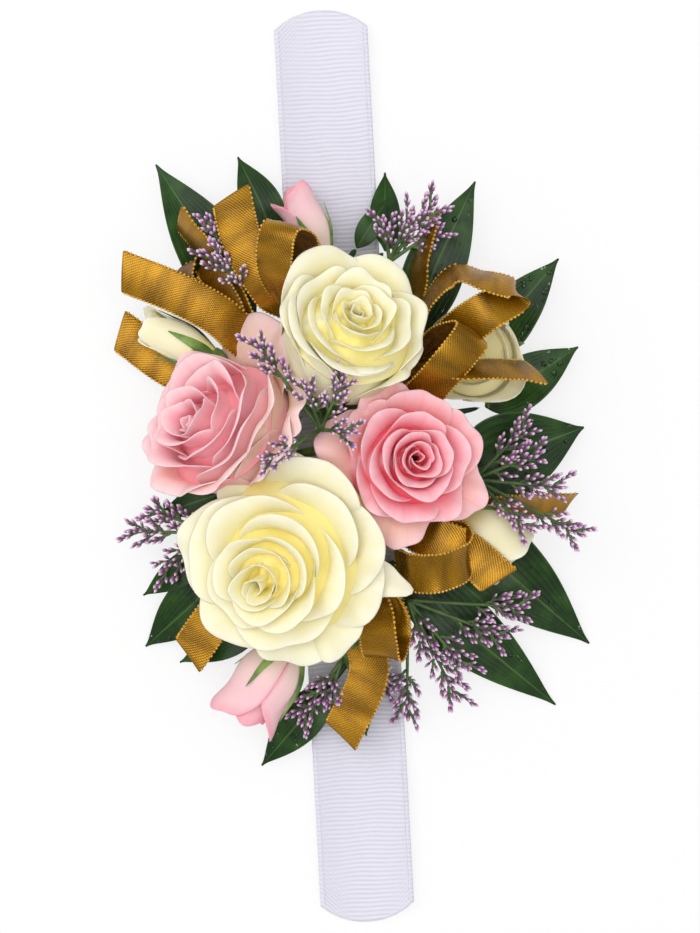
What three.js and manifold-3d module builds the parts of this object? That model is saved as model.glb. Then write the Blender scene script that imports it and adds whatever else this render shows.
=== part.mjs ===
// A wrist corsage: roses, buds, leaves, statice and satin bows bound to a spine of taped stems, which is
// glued to a slap band, a sprung steel tape inside a woven ribbon sleeve. The band lies open and straight.
// Millimetres. X runs across the band, Y along it, and +Z points from the wrist to the flowers.
import * as THREE from "three";
import { mergeVertices } from "three/addons/utils/BufferGeometryUtils.js";
import Module from "manifold-3d";

const wasm = await Module();
wasm.setup();
const { degToRad, lerp, smoothstep } = THREE.MathUtils;

// Slap band
const BAND_LENGTH = 230;
const BAND_WIDTH = 24;
const BAND_DISH_RADIUS = 32;
const BAND_END_RADIUS = 17;
const BAND_FACETS = 7;
const CENTRE_LENGTH = 34;
const LINKS_PER_ARM = 4;
const LINK_GAP = 0.4;
const SLEEVE_WALL = 0.4;
const TAPE_THICKNESS = 0.2;
const TAPE_MARGIN = 2;
const TAPE_CLEARANCE = 0.2;

// Gaps: between a piece and its seat, and between the flowers and the arms that curl away below them
const SEAT_GAP = 0.3;
const ARM_GAP = 0.8;

// Glue pad and the spine of taped stems
const PAD_LENGTH = 30;
const PAD_WIDTH = 15;
const PAD_THICKNESS = 2.6;
const PAD_FLOOR = 0.9;
const SPINE_LENGTH = 104;
const SPINE_RADIUS = 6;
const STEM_RADIUS = 1.3;
const TWIG_RADIUS = 0.55;
const WIRE_RADIUS = 0.9;
const STEM_RISE = 0.3;
const LEAF_RISE = -0.35;

// Roses and buds
const PETAL_THICKNESS = 0.9;
const PETAL_FOOT_RADIUS = 1.2;
const PETAL_LOBE = 0.06;
const PETAL_STEPS = 2;
const POINTS_PER_LOBE = 3;
const WHORL_DEPTH = 4;
const HEART_SHARE = 0.92;
const HEART_WALL = 0.1;
const HEART_RIM = 0.05;
const HEART_LEAN = -12;
const HIP_RADIUS = 4.2;
const HIP_LENGTH = 6;
const SEPAL_COUNT = 5;
const SEPAL_LENGTH = 11;
const SEPAL_WIDTH = 4.6;
const SEPAL_THICKNESS = 0.7;
const SEPAL_ROOT_DROP = 1.8;
const SEPAL_MIDDLE_DROP = 2.4;
const SEPAL_TIP_DROP = 5;
const BUD_HIP_RADIUS = 2.9;
const BUD_HIP_LENGTH = 4;
const BUD_SHOULDER = 1.5;
const BUD_STEM_INSET = 3;
const BUD_SEPAL_COUNT = 3;

// Leaves, statice and ribbon
const LEAF_THICKNESS = 0.6;
const LEAF_FOLD = 0.16;
const LEAF_ARCH = 1;
const LEAF_TIP_WIDTH = 0.6;
const PETIOLE_WIDTH = 1.6;
const RIBBON_WIDTH = 10;
const RIBBON_THICKNESS = 0.5;
const RIBBON_PINCH = 3.2;
const KNOT_RADIUS = 3;
const KNOT_SHIFT = 0.6;
const SPIKE_RADIUS = 2.1;
const SPIKE_LENGTH = 12;
const TWIG_ARCH = 0.8;

const SLEEVE_THICKNESS = 2 * SLEEVE_WALL + TAPE_THICKNESS + 2 * TAPE_CLEARANCE;
const LINK_LENGTH = (BAND_LENGTH - CENTRE_LENGTH) / 2 / LINKS_PER_ARM;
const PAD_BASE = SLEEVE_THICKNESS + SEAT_GAP;
const SPINE_HEIGHT = PAD_BASE + PAD_FLOOR + SEAT_GAP + SPINE_RADIUS;

// Where the flowers sit. A rose stands on its hip and leans by `lean` degrees towards `heading`, which is
// counted from +X towards +Y; `slide` is the share of the lean that only carries its top sideways, and `eye`
// is how far its heart lies off its middle. `cup` is the share of its radius where the outer petals' walls
// stand, `flare` their angle at the rim, and `sink` how far the outer rims lie below the inner ones. `at` is
// the place along the spine where the stem comes out.
const ROSES = {
  white_rose_lower: {
    hip: [-9, -17, 17],
    at: -14,
    lean: 24,
    heading: 215,
    slide: 0.8,
    eye: [-5.5, -5.5],
    radius: 27,
    height: 28,
    cup: 0.5,
    flare: 96,
    sink: 0.42,
  },
  pink_rose_right: {
    hip: [13, 0, 16.5],
    at: 1,
    lean: 14,
    heading: 10,
    slide: 0.4,
    eye: [0, 0],
    radius: 18.5,
    height: 24,
    cup: 0.6,
    flare: 92,
    sink: 0.35,
  },
  white_rose_upper: {
    hip: [-1.2, 24.3, 17],
    at: 18,
    lean: 30,
    heading: 60,
    slide: 0,
    eye: [0, 0],
    radius: 18.3,
    height: 30,
    cup: 0.82,
    flare: 84,
    sink: 0.2,
  },
  pink_rose_left: {
    hip: [-19.5, 5, 15.5],
    at: 5,
    lean: 50,
    heading: 146,
    slide: 0,
    eye: [-1.5, -3.5],
    radius: 20.5,
    height: 28,
    cup: 0.76,
    flare: 84,
    sink: 0.22,
  },
};

const BUDS = {
  pink_bud_top: { base: [-2, 52, 12], tip: [-10.4, 69, 13], at: 44, radius: 5.4 },
  white_bud_left: { base: [-31, 28.5, 14], tip: [-49.5, 38, 14], at: 10, radius: 5.2 },
  white_bud_right: { base: [33.5, 25.7, 7], tip: [33.3, 27.4, 18], at: 8, radius: 12.5 },
  white_bud_lower: { base: [26, -14, 10], tip: [42.5, -27, 10.5], at: -19, radius: 9.5 },
  pink_bud_bottom: { base: [-14, -43, 12], tip: [-29.5, -62.5, 12], at: -38, radius: 8.5 },
};

// Each leaf leaves the spine at `at`, and its blade begins at `base` and ends at `tip`. A twig can carry a
// second leaf.
const LEAVES = {
  leaf_01: { at: 32, base: [-20, 38, 6.5], tip: [-42.8, 77.5, 7.5], width: 17 },
  leaf_02: { at: 47, base: [-12.5, 55, 7], tip: [-22.5, 78.9, 2.5], width: 11 },
  leaf_03: {
    at: 47,
    base: [13, 53, 6.5],
    tip: [14.2, 73, 2.5],
    width: 8,
    second: { base: [6, 54, 8], tip: [14.5, 66, 8], width: 6 },
  },
  leaf_04: { at: 34, base: [16.5, 32, 6.5], tip: [36.4, 69, 8], width: 15.5 },
  leaf_05: { at: 26, base: [34, 25, 5.2], tip: [56.2, 48.8, 7], width: 13 },
  leaf_06: { at: 12, base: [36, 13, 4.6], tip: [60, 26.6, 6], width: 13 },
  leaf_07: { at: 2, base: [27, -4, 5.2], tip: [60.5, 6.5, 4.5], width: 22 },
  leaf_08: { at: -12, base: [22, -12, 4.6], tip: [59.3, -47.9, 0.6], width: 20 },
  leaf_09: { at: -28, base: [9, -25, 5.5], tip: [50, -62.9, 0.6], width: 17 },
  leaf_10: {
    at: -47,
    base: [-6, -54, 7],
    tip: [-24.6, -74, 2.5],
    width: 11,
    second: { base: [0.5, -57, 6.5], tip: [2, -67.5, 6], width: 5 },
  },
  leaf_11: { at: -31, base: [-22, -38, 6.5], tip: [-43.7, -47, 3], width: 9 },
  leaf_12: { at: -22, base: [-29, -24, 6], tip: [-52.3, -42.7, 0.6], width: 14 },
  leaf_13: { at: -17, base: [-34, -19, 8.5], tip: [-51.8, -29.6, 5], width: 8 },
  leaf_14: { at: -2, base: [-22, -3, 7], tip: [-47, -9.5, 4], width: 10 },
};

// Statice: one stem from the spine to a fork, and a flower spike from the fork to each tip
const SPRIGS = {
  statice_01: { at: 46, fork: [14, 50, 11.5], tips: [[26.5, 66, 15], [13, 61, 13.5], [26, 58.5, 13]] },
  statice_02: {
    at: 38,
    fork: [-22, 45, 18.5],
    tips: [[-29, 61.5, 18.5], [-30, 53, 21.5], [-25.5, 54, 20], [-24, 47, 25]],
  },
  statice_03: {
    at: 8,
    fork: [-5, 9, 32],
    tips: [[-19, 30, 36], [-18, 2, 42.5], [-8, 19.5, 38], [1, 20.5, 41], [2, 8, 37]],
  },
  statice_04: {
    at: -6,
    fork: [32, -5, 12.5],
    tips: [[47.7, 0.5, 15], [52.2, -8, 16], [56.5, -19.5, 18], [44.2, -17.5, 19], [45, 7, 14.5]],
  },
  statice_05: {
    at: -30,
    fork: [14, -34, 11],
    tips: [
      [42.3, -37.3, 10],
      [36.9, -44.2, 10],
      [17.9, -47, 10],
      [26.8, -51, 8],
      [24.7, -58.6, 6.5],
      [12, -63, 7],
    ],
  },
  statice_06: { at: -10, fork: [-33, -15, 9.5], tips: [[-53, -13.4, 8], [-48, -8.5, 8.5], [-45.7, -23, 9]] },
  statice_07: { at: -43, fork: [-3, -48, 9.5], tips: [[-13.7, -61.3, 9], [-4.5, -58, 9.5], [9.5, -55.5, 9]] },
};

// Satin bows: loops and tails of one ribbon gathered in a wired knot. `across` is the direction of the
// ribbon's width at the knot and at the far end.
const BOWS = {
  bow_top_left: {
    at: 35,
    knot: [-9, 36, 15],
    strips: [
      { path: [[-15, 43, 21], [-21.5, 55, 23], [-24, 67.5, 21]], across: [[1, 0.3, 0.2], [1, 0.3, 0.1]] },
      {
        path: [[-12.5, 42, 24], [-14.2, 49.5, 29.5], [-12, 58, 31.5], [-8.5, 57.5, 27], [-6.5, 49, 20]],
        across: [[0.85, -0.3, 0.42], [0.85, -0.3, 0.42]],
        loop: true,
      },
    ],
  },
  bow_left: {
    at: 20,
    knot: [-20, 25, 11],
    strips: [
      {
        path: [[-26, 36, 18], [-37, 43.5, 21], [-51.6, 50.4, 20]],
        across: [[0.45, 0.9, 0], [0.5, 0.8, 0.2]],
      },
      { path: [[-38, 25, 5.4], [-54.4, 37, 4.6]], across: [[0.5, 0.8, 0], [0.5, 0.8, 0]] },
      { path: [[-24, 43, 13.5], [-37.3, 63.5, 13.5]], across: [[0.35, 0.3, 0.9], [0.35, 0.3, 0.9]] },
      {
        path: [[-31, 40, 14.5], [-36.5, 48.5, 15.5], [-32, 52.5, 16], [-28, 44, 15]],
        across: [[0.6, 0.3, 0.7], [0.6, 0.3, 0.7]],
        loop: true,
      },
    ],
  },
  bow_right: {
    at: 24,
    knot: [17, 24, 13],
    strips: [
      {
        path: [[22.9, 39.2, 22], [29.4, 44.8, 25], [36.5, 42.8, 27], [43.8, 39.7, 27], [36.4, 35.3, 30],
          [30.3, 31.8, 26]],
        across: [[0, 0, 1], [0.53, -0.85, -0.25]],
        loop: true,
      },
      {
        path: [[18.5, 16, 22.5], [26.3, 22.6, 31.5], [32.5, 30.2, 30], [27, 30, 23.5]],
        across: [[0.83, -0.55, -0.45], [0.83, -0.55, -0.45]],
        loop: true,
      },
      {
        path: [[24, 22.8, 23.5], [31, 21.6, 26.5], [39, 21.4, 26], [48.1, 20.2, 22.5]],
        across: [[0.2, -0.3, 0.95], [0.38, -0.6, 0.7]],
      },
      { path: [[20, 40, 12], [21.5, 49, 13.5], [24.5, 60, 10.5]], across: [[0.4, 0, 0.9], [0.4, 0, 0.9]] },
    ],
  },
  bow_lower_right: {
    at: -15,
    knot: [11, -14.5, 14.5],
    strips: [
      {
        path: [[12, -24, 20], [14.5, -26.5, 25.5], [21.5, -27, 29], [29, -24.5, 25.5], [29, -20.5, 19]],
        across: [[0, 0.94, 0.34], [0.1, 0.94, 0.34]],
        loop: true,
      },
      { path: [[19, -18, 19.5], [28, -22, 21], [36.5, -30, 21.5]], across: [[0.6, 0.8, 0], [0.74, 0.67, 0]] },
      {
        path: [[25, -12.5, 10.5], [38, -12.5, 9], [56, -12.7, 7.5]],
        across: [[0, 0.6, 0.8], [0, 0.6, 0.8]],
      },
    ],
  },
  bow_bottom: {
    at: -27,
    knot: [3, -27, 16.5],
    strips: [
      {
        path: [[4.5, -31, 23], [5.8, -39, 25.5], [6.8, -47.5, 21.5], [9.5, -43, 15], [9, -34, 14.5]],
        across: [[0.9, -0.15, 0.4], [0.9, -0.15, 0.4]],
        loop: true,
      },
      {
        path: [[2, -38, 12.7], [3.5, -51, 13.5], [-4.5, -67, 11]],
        across: [[0.95, 0, 0.2], [0.9, -0.35, 0.2]],
      },
    ],
  },
  ribbon_tail_left: {
    at: -26,
    knot: [-9, -28, 10.5],
    strips: [
      {
        path: [[-22, -30, 11], [-31, -33, 12.5], [-41.3, -45, 11]],
        across: [[0.2, 0.9, 0.2], [0.75, -0.6, 0]],
      },
    ],
  },
};

const COLOURS = {
  sleeve: "#f1eef4",
  tape: "#aeb3b8",
  pad: "#efe9dc",
  spine: "#5d7a3a",
  white: "#f4f0d6",
  pink: "#e48a96",
  green: "#6f9a3c",
  leaf: "#2c5a2b",
  statice: "#8d7fc0",
  gold: "#c39a4c",
};

const vector = (point) => new THREE.Vector3(...point);

// A point inside the spine at a place along it, raised by a share of its radius.
const spinePoint = (y, rise) => new THREE.Vector3(0, y, SPINE_HEIGHT + rise * SPINE_RADIUS);

// A closed geometry as a solid. Only its corner points are kept, each once.
function solid(geometry) {
  const bare = geometry.clone();
  Object.keys(bare.attributes)
    .filter((name) => name !== "position")
    .forEach((name) => bare.deleteAttribute(name));
  const merged = mergeVertices(bare, 1e-4);
  const vertProperties = new Float32Array(merged.attributes.position.array);
  const triVerts = new Uint32Array(merged.index.array);
  return new wasm.Manifold(new wasm.Mesh({ numProp: 3, vertProperties, triVerts }));
}

function geometryOf(body) {
  const mesh = body.getMesh();
  const geometry = new THREE.BufferGeometry();
  const points = new Float32Array(mesh.numVert * 3);
  for (let i = 0; i < mesh.numVert; i += 1) {
    points.set(mesh.vertProperties.subarray(i * mesh.numProp, i * mesh.numProp + 3), i * 3);
  }
  geometry.setAttribute("position", new THREE.BufferAttribute(points, 3));
  geometry.setIndex(new THREE.BufferAttribute(new Uint32Array(mesh.triVerts), 1));
  geometry.computeVertexNormals();
  return geometry;
}

const join = (bodies) => bodies.reduce((whole, body) => whole.add(body));

// The largest of the bodies that a cut leaves
function largest(body) {
  const pieces = body.decompose();
  return pieces.reduce((best, piece) => (piece.volume() > best.volume() ? piece : best));
}

// Moves every point of a geometry by a rule that keeps neighbours together.
function bend(geometry, rule) {
  const points = geometry.attributes.position;
  for (let i = 0; i < points.count; i += 1) {
    const moved = rule(points.getX(i), points.getY(i), points.getZ(i));
    points.setXYZ(i, moved.x, moved.y, moved.z);
  }
  return solid(geometry);
}

// A strip bent along a curve. Its width follows `across`, `fold` lifts its edges, and `grow` adds a margin
// on every side.
function strip({ path, across, halfWidth, thickness, steps, grow, fold = 0 }) {
  const curve = new THREE.CatmullRomCurve3(path);
  const box = new THREE.BoxGeometry(2, 1, 1, fold ? 2 : 1, steps, 1);
  return bend(box, (u, v, w) => {
    const t = v + 0.5;
    const along = curve.getTangentAt(t);
    const side = across[0].clone().lerp(across[1], t);
    side.addScaledVector(along, -side.dot(along)).normalize();
    const normal = side.clone().cross(along);
    const half = halfWidth(t) + grow;
    const lift = w * (thickness + 2 * grow) + fold * Math.abs(u) * half;
    const point = curve.getPointAt(t).addScaledVector(along, 2 * v * grow);
    return point.addScaledVector(side, u * half).addScaledVector(normal, lift);
  });
}

// A round stalk along a curve, with a radius that changes along it and a margin on every side.
function stalk({ path, radius, steps, sides, grow }) {
  const curve = new THREE.CatmullRomCurve3(path);
  const up = new THREE.Vector3(0.31, 0.17, 0.94);
  return bend(new THREE.CylinderGeometry(1, 1, 1, sides, steps), (x, y, z) => {
    const t = y + 0.5;
    const along = curve.getTangentAt(t);
    const side = along.clone().cross(up).normalize();
    const normal = side.clone().cross(along);
    const r = radius(t) + grow;
    const point = curve.getPointAt(t).addScaledVector(along, 2 * y * grow);
    return point.addScaledVector(side, x * r).addScaledVector(normal, z * r);
  });
}

// Turns a body that stands on the origin along +Z to a direction, and sets it on a point.
function stand(body, direction, point) {
  const turn = new THREE.Quaternion().setFromUnitVectors(new THREE.Vector3(0, 0, 1), direction);
  const matrix = new THREE.Matrix4().compose(vector(point), turn, new THREE.Vector3(1, 1, 1));
  return body.transform(matrix.elements);
}

// A lathe about +Z from [radius, height] pairs.
function turned(profile, sides) {
  const points = profile.map(([radius, height]) => new THREE.Vector2(radius, height));
  return solid(new THREE.LatheGeometry(points, sides).rotateX(Math.PI / 2));
}

// The dished cross-section of the band between two depths above its underside, drawn along Y.
function dishedStrip(width, low, high, start, end) {
  const reach = Math.asin(width / 2 / BAND_DISH_RADIUS);
  const facet = (2 * reach) / BAND_FACETS;
  const bottom = BAND_DISH_RADIUS * Math.cos(facet / 2);
  const arc = (depth) =>
    Array.from({ length: BAND_FACETS + 1 }, (_, i) => {
      const angle = -reach + i * facet;
      const radius = BAND_DISH_RADIUS - depth;
      return new THREE.Vector2(radius * Math.sin(angle), bottom - radius * Math.cos(angle));
    });
  const section = new THREE.Shape([...arc(low), ...arc(high).reverse()]);
  const bar = new THREE.ExtrudeGeometry(section, { depth: end - start, bevelEnabled: false });
  return solid(bar.rotateX(Math.PI / 2).translate(0, end, 0));
}

// The plan of the whole band, drawn in by `inset`, with its rounded ends.
function bandPlan(inset) {
  const half = BAND_WIDTH / 2 - inset;
  const radius = BAND_END_RADIUS - inset;
  const centre = BAND_LENGTH / 2 - BAND_END_RADIUS;
  const swing = Math.asin(half / radius);
  const plan = new THREE.Shape();
  plan.absarc(0, centre, radius, Math.PI / 2 - swing, Math.PI / 2 + swing, false);
  plan.absarc(0, -centre, radius, -Math.PI / 2 - swing, -Math.PI / 2 + swing, false);
  const tall = new THREE.ExtrudeGeometry(plan, { depth: BAND_WIDTH, curveSegments: 8, bevelEnabled: false });
  return solid(tall.translate(0, 0, -BAND_WIDTH / 2));
}

// One length of the band: the woven sleeve, open where the tape runs on, and the steel tape in it.
function bandLength(start, end) {
  const slot = TAPE_MARGIN - TAPE_CLEARANCE;
  const tapeLow = SLEEVE_WALL + TAPE_CLEARANCE;
  const hollow = [SLEEVE_WALL, SLEEVE_THICKNESS - SLEEVE_WALL];
  const outer = dishedStrip(BAND_WIDTH, 0, SLEEVE_THICKNESS, start, end).intersect(bandPlan(0));
  const inner = dishedStrip(BAND_WIDTH - 2 * slot, ...hollow, start - LINK_GAP, end + LINK_GAP);
  const tape = dishedStrip(BAND_WIDTH - 2 * TAPE_MARGIN, tapeLow, tapeLow + TAPE_THICKNESS, start, end);
  return {
    sleeve: outer.subtract(inner.intersect(bandPlan(slot))),
    tape: tape.intersect(bandPlan(TAPE_MARGIN)),
  };
}

function spine(grow) {
  const steps = 12;
  const half = SPINE_LENGTH / 2;
  const radius = (t) => SPINE_RADIUS * Math.sqrt(1 - Math.abs(t) ** 3);
  const profile = Array.from({ length: steps - 1 }, (_, i) => {
    const t = -1 + (2 * (i + 1)) / steps;
    return [radius(t) + grow, half * t];
  });
  const body = turned([[0, -half - grow], ...profile, [0, half + grow]], 10);
  return stand(body, new THREE.Vector3(0, 1, 0), [0, 0, SPINE_HEIGHT]);
}

function pad() {
  const half = PAD_LENGTH / 2;
  return dishedStrip(PAD_WIDTH, PAD_BASE, PAD_BASE + PAD_THICKNESS, -half, half);
}

function leanDirection({ lean, heading }) {
  const tilt = degToRad(lean);
  const turn = degToRad(heading);
  return new THREE.Vector3(Math.sin(tilt) * Math.cos(turn), Math.sin(tilt) * Math.sin(turn), Math.cos(tilt));
}

// A petal's line from its foot to its rim: a wall that hugs the bloom, then a flare. `layer` runs from 0 at
// the heart to 1 at the outermost petals.
function petalLine({ radius, height, cup, flare, sink }, layer) {
  const wall = radius * cup * lerp(HEART_WALL, 1, layer);
  const rim = radius * lerp(HEART_RIM, 1, layer ** 1.2);
  const top = height * (lerp(HEART_SHARE, 1, smoothstep(layer, 0, 0.3)) - sink * layer ** 2.2);
  const low = top * lerp(0.62, 0.4, layer);
  const span = Math.hypot(rim - wall, top - low);
  const angle = degToRad(lerp(HEART_LEAN, flare, layer ** 0.9));
  const reach = [0.43 * span * Math.sin(angle), 0.43 * span * Math.cos(angle)];
  const curve = (...points) =>
    new THREE.CubicBezierCurve(...points.map(([r, z]) => new THREE.Vector2(r, z))).getPoints(PETAL_STEPS);
  const foot = [PETAL_FOOT_RADIUS, 0];
  const rise = curve(foot, [PETAL_FOOT_RADIUS + wall / 2, 0], [wall, low * 0.67], [wall, low]);
  const spread = curve([wall, low], [wall, low + span / 3], [rim - reach[0], top - reach[1]], [rim, top]);
  return { wall: rise.slice(1), flare: spread.slice(1) };
}

// One whorl of petals as a filled cup with a shallow hollow: it is lobed at its rim, a lobe for each petal.
function whorl(rose, { layer, lobes, start }) {
  const { wall, flare } = petalLine(rose, layer);
  const { x: reach, y: top } = flare[PETAL_STEPS - 1];
  const floor = Math.max(...flare.map((point) => point.y)) - WHORL_DEPTH;
  const inside = flare
    .filter((point) => point.y > floor)
    .map((point) => new THREE.Vector2(point.x - PETAL_THICKNESS, point.y + PETAL_THICKNESS / 3))
    .reverse();
  const brink = new THREE.Vector2(Math.max(inside[inside.length - 1].x - WHORL_DEPTH / 2, 0.5), floor);
  const ends = [new THREE.Vector2(0, -SEAT_GAP / 3), new THREE.Vector2(0, floor)];
  const profile = [ends[0], ...wall, ...flare, ...inside, brink, ends[1]];
  const cup = new THREE.LatheGeometry(profile, lobes * POINTS_PER_LOBE).rotateX(Math.PI / 2);
  return bend(cup, (x, y, z) => {
    const lobe = Math.cos(lobes * (Math.atan2(y, x) - degToRad(start)));
    const rise = 1 + smoothstep(Math.hypot(x, y) / reach, 0.35, 1) * PETAL_LOBE * lobe;
    const shift = (1 - layer) * smoothstep(z / top, 0.1, 1);
    return new THREE.Vector3(x * rise + rose.eye[0] * shift, y * rise + rose.eye[1] * shift, z * rise);
  });
}

// A bloom on its own axis: a rolled heart in whorls of petals that open outwards.
function bloom(rose) {
  const whorls = [
    { layer: 0.12, lobes: 2, start: 40 },
    { layer: 0.38, lobes: 3, start: 20 },
    { layer: 0.68, lobes: 4, start: 55 },
    { layer: 1, lobes: 5, start: 10 },
  ];
  return join(whorls.map((shape) => whorl(rose, shape)));
}

// The space that a bloom takes up, which nothing else enters: a plain cup and its petals with a margin.
function bloomSpace(rose) {
  const wide = rose.radius + 2 * SEAT_GAP;
  const wall = rose.radius * rose.cup;
  const rim = rose.height * (1 - rose.sink);
  const top = rose.height * (1 + PETAL_LOBE) + SEAT_GAP;
  const cup = turned(
    [
      [0, -SEAT_GAP],
      [wall * 0.8, -SEAT_GAP],
      [wall + 1, rim * 0.3],
      [wide * 1.06, rim],
      [wide * 0.8, top],
      [0, top],
    ],
    14,
  );
  const margin = 1 + (2 * SEAT_GAP) / rose.radius;
  const petals = bloom(rose);
  return join([cup, petals, petals.scale([margin, margin, margin]), petals.translate([0, 0, -SEAT_GAP])]);
}

// Sets a bloom on its hip and leans it.
function leant(body, rose) {
  const axis = leanDirection(rose);
  const upright = new THREE.Vector3(0, 0, 1);
  const level = upright.clone().lerp(axis, 1 - rose.slide).normalize();
  const push = axis.clone().sub(level);
  const turn = new THREE.Quaternion().setFromUnitVectors(upright, level);
  const matrix = new THREE.Matrix4().set(1, 0, push.x, 0, 0, 1, push.y, 0, 0, 0, 1, 0, 0, 0, 0, 1);
  matrix.multiply(new THREE.Matrix4().makeRotationFromQuaternion(turn)).setPosition(...rose.hip);
  return body.transform(matrix.elements);
}

// Sepals round a hip, each from the hip through a middle to a tip, given as [reach, height].
function sepals(count, middle, tip, foot, grow) {
  return Array.from({ length: count }, (_, i) => {
    const turn = (2 * Math.PI * i) / count - Math.PI / 2;
    const out = new THREE.Vector3(Math.cos(turn), Math.sin(turn), 0);
    const across = new THREE.Vector3(-out.y, out.x, 0);
    const place = ([reach, height]) => out.clone().multiplyScalar(reach).setZ(height);
    return strip({
      path: [place(foot), place(middle), place(tip)],
      across: [across, across],
      halfWidth: (t) => (SEPAL_WIDTH / 2) * (1 - 0.85 * t * t),
      thickness: SEPAL_THICKNESS,
      steps: 2,
      grow,
    });
  });
}

// Hip, sepals that turn down under the bloom, and the stem back to the spine.
function calyx(rose, grow) {
  const axis = leanDirection(rose);
  const wide = HIP_RADIUS + grow;
  const low = -HIP_LENGTH - grow;
  const hip = turned(
    [
      [0, low],
      [wide * 0.5, low],
      [wide, -HIP_LENGTH / 2],
      [wide, -SEAT_GAP],
      [0, -SEAT_GAP],
    ],
    8,
  );
  const leaves = sepals(
    SEPAL_COUNT,
    [HIP_RADIUS + SEPAL_LENGTH * 0.35, -SEPAL_MIDDLE_DROP],
    [HIP_RADIUS + SEPAL_LENGTH * 0.75, -SEPAL_TIP_DROP],
    [HIP_RADIUS * 0.6, -SEPAL_ROOT_DROP],
    grow,
  );
  const head = stand(join([hip, ...leaves]), axis, rose.hip);
  const foot = vector(rose.hip).addScaledVector(axis, -HIP_LENGTH * 0.7);
  return head.add(stemTo(foot, rose.at, grow));
}

// A green stem from a point back into the spine, which later cuts it off at its surface.
function stemTo(point, at, grow) {
  const root = spinePoint(at, STEM_RISE);
  const middle = point.clone().lerp(root, 0.5).setZ(lerp(point.z, root.z, 0.4));
  return stalk({ path: [root, middle, point], radius: () => STEM_RADIUS, steps: 3, sides: 6, grow });
}

// A bud opening at its tip: a cup with a lobed rim, its hip, its sepals and its stem.
function bud({ base, tip, at, radius }, grow) {
  const axis = vector(tip).sub(vector(base));
  const length = axis.length();
  axis.normalize();
  const wide = BUD_HIP_RADIUS + grow;
  const low = -BUD_HIP_LENGTH - grow;
  const hip = [
    new THREE.Vector2(0, low),
    new THREE.Vector2(wide / 2, low),
    new THREE.Vector2(wide, -BUD_SHOULDER - grow),
  ];
  const swell = [[0.98, 0.4], [0.86, 1], [0.4, 0.88], [0, 0.82]];
  const petals = swell.map(([r, h]) => new THREE.Vector2(r ? r * radius + grow : 0, h * length + grow));
  const lobes = 3;
  const cup = bend(new THREE.LatheGeometry([...hip, ...petals], 9).rotateX(Math.PI / 2), (x, y, z) => {
    const rise = 0.1 * smoothstep(z / length, 0.3, 1) * Math.cos(lobes * Math.atan2(y, x));
    return new THREE.Vector3(x * (1 + rise), y * (1 + rise), z * (1 + rise));
  });
  const leaves = sepals(
    BUD_SEPAL_COUNT,
    [radius * 1.08, length * 0.3],
    [radius * 1.2, length * 0.62],
    [BUD_HIP_RADIUS * 0.7, 0],
    grow,
  );
  const head = stand(join([cup, ...leaves]), axis, base);
  return head.add(stemTo(vector(base).addScaledVector(axis, -BUD_STEM_INSET), at, grow));
}

// A pointed leaf: a narrow stalk from the spine, then a blade folded along its middle.
function blade({ at, base, tip, width }, grow) {
  const root = spinePoint(at, LEAF_RISE);
  const start = vector(base);
  const end = vector(tip);
  const path = [root, start, start.clone().lerp(end, 0.5).setZ(lerp(start.z, end.z, 0.4) + LEAF_ARCH), end];
  const share = start.distanceTo(end) / (start.distanceTo(end) + root.distanceTo(start));
  const across = new THREE.Vector3(end.y - start.y, start.x - end.x, 0).normalize();
  return strip({
    path,
    across: [across, across],
    halfWidth: (t) => {
      const s = Math.max(0, (t - 1 + share) / share);
      const swell = (s / 0.4) ** 0.8 * ((1 - s) / 0.6) ** 1.2;
      return Math.max(lerp(PETIOLE_WIDTH / 2, LEAF_TIP_WIDTH / 2, s), (width / 2) * swell);
    },
    thickness: LEAF_THICKNESS,
    steps: 8,
    grow,
    fold: LEAF_FOLD,
  });
}

// One leaf, or a twig with a second, smaller leaf from the same place on the spine.
function leaf(shape, grow) {
  const blades = [blade(shape, grow)];
  if (shape.second) {
    blades.push(blade({ at: shape.at, ...shape.second }, grow));
  }
  return join(blades);
}

// A statice sprig: a wiry stem, and knobbly spikes of small flowers on thin twigs.
function sprig({ at, fork, tips }, grow) {
  const root = spinePoint(at, 0);
  const branch = vector(fork);
  const stem = stalk({ path: [root, branch], radius: () => TWIG_RADIUS * 1.5, steps: 1, sides: 5, grow });
  const spikes = tips.map((point) => {
    const tip = vector(point);
    const along = tip.clone().sub(branch);
    const flowers = Math.min(SPIKE_LENGTH / along.length(), 0.75);
    const radius = (t) => {
      const s = (t - 1 + flowers) / flowers;
      const knob = 0.8 + 0.2 * Math.cos(s * 4 * Math.PI);
      return lerp(TWIG_RADIUS, SPIKE_RADIUS * knob, smoothstep(s, -0.05, 0.2)) * (1.1 - 0.5 * Math.max(s, 0));
    };
    const start = branch.clone().addScaledVector(along.normalize(), -TWIG_RADIUS);
    const middle = start.clone().lerp(tip, 0.5).add(new THREE.Vector3(0, 0, TWIG_ARCH));
    return stalk({ path: [start, middle, tip], radius, steps: 6, sides: 5, grow });
  });
  return join([stem, ...spikes]);
}

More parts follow.
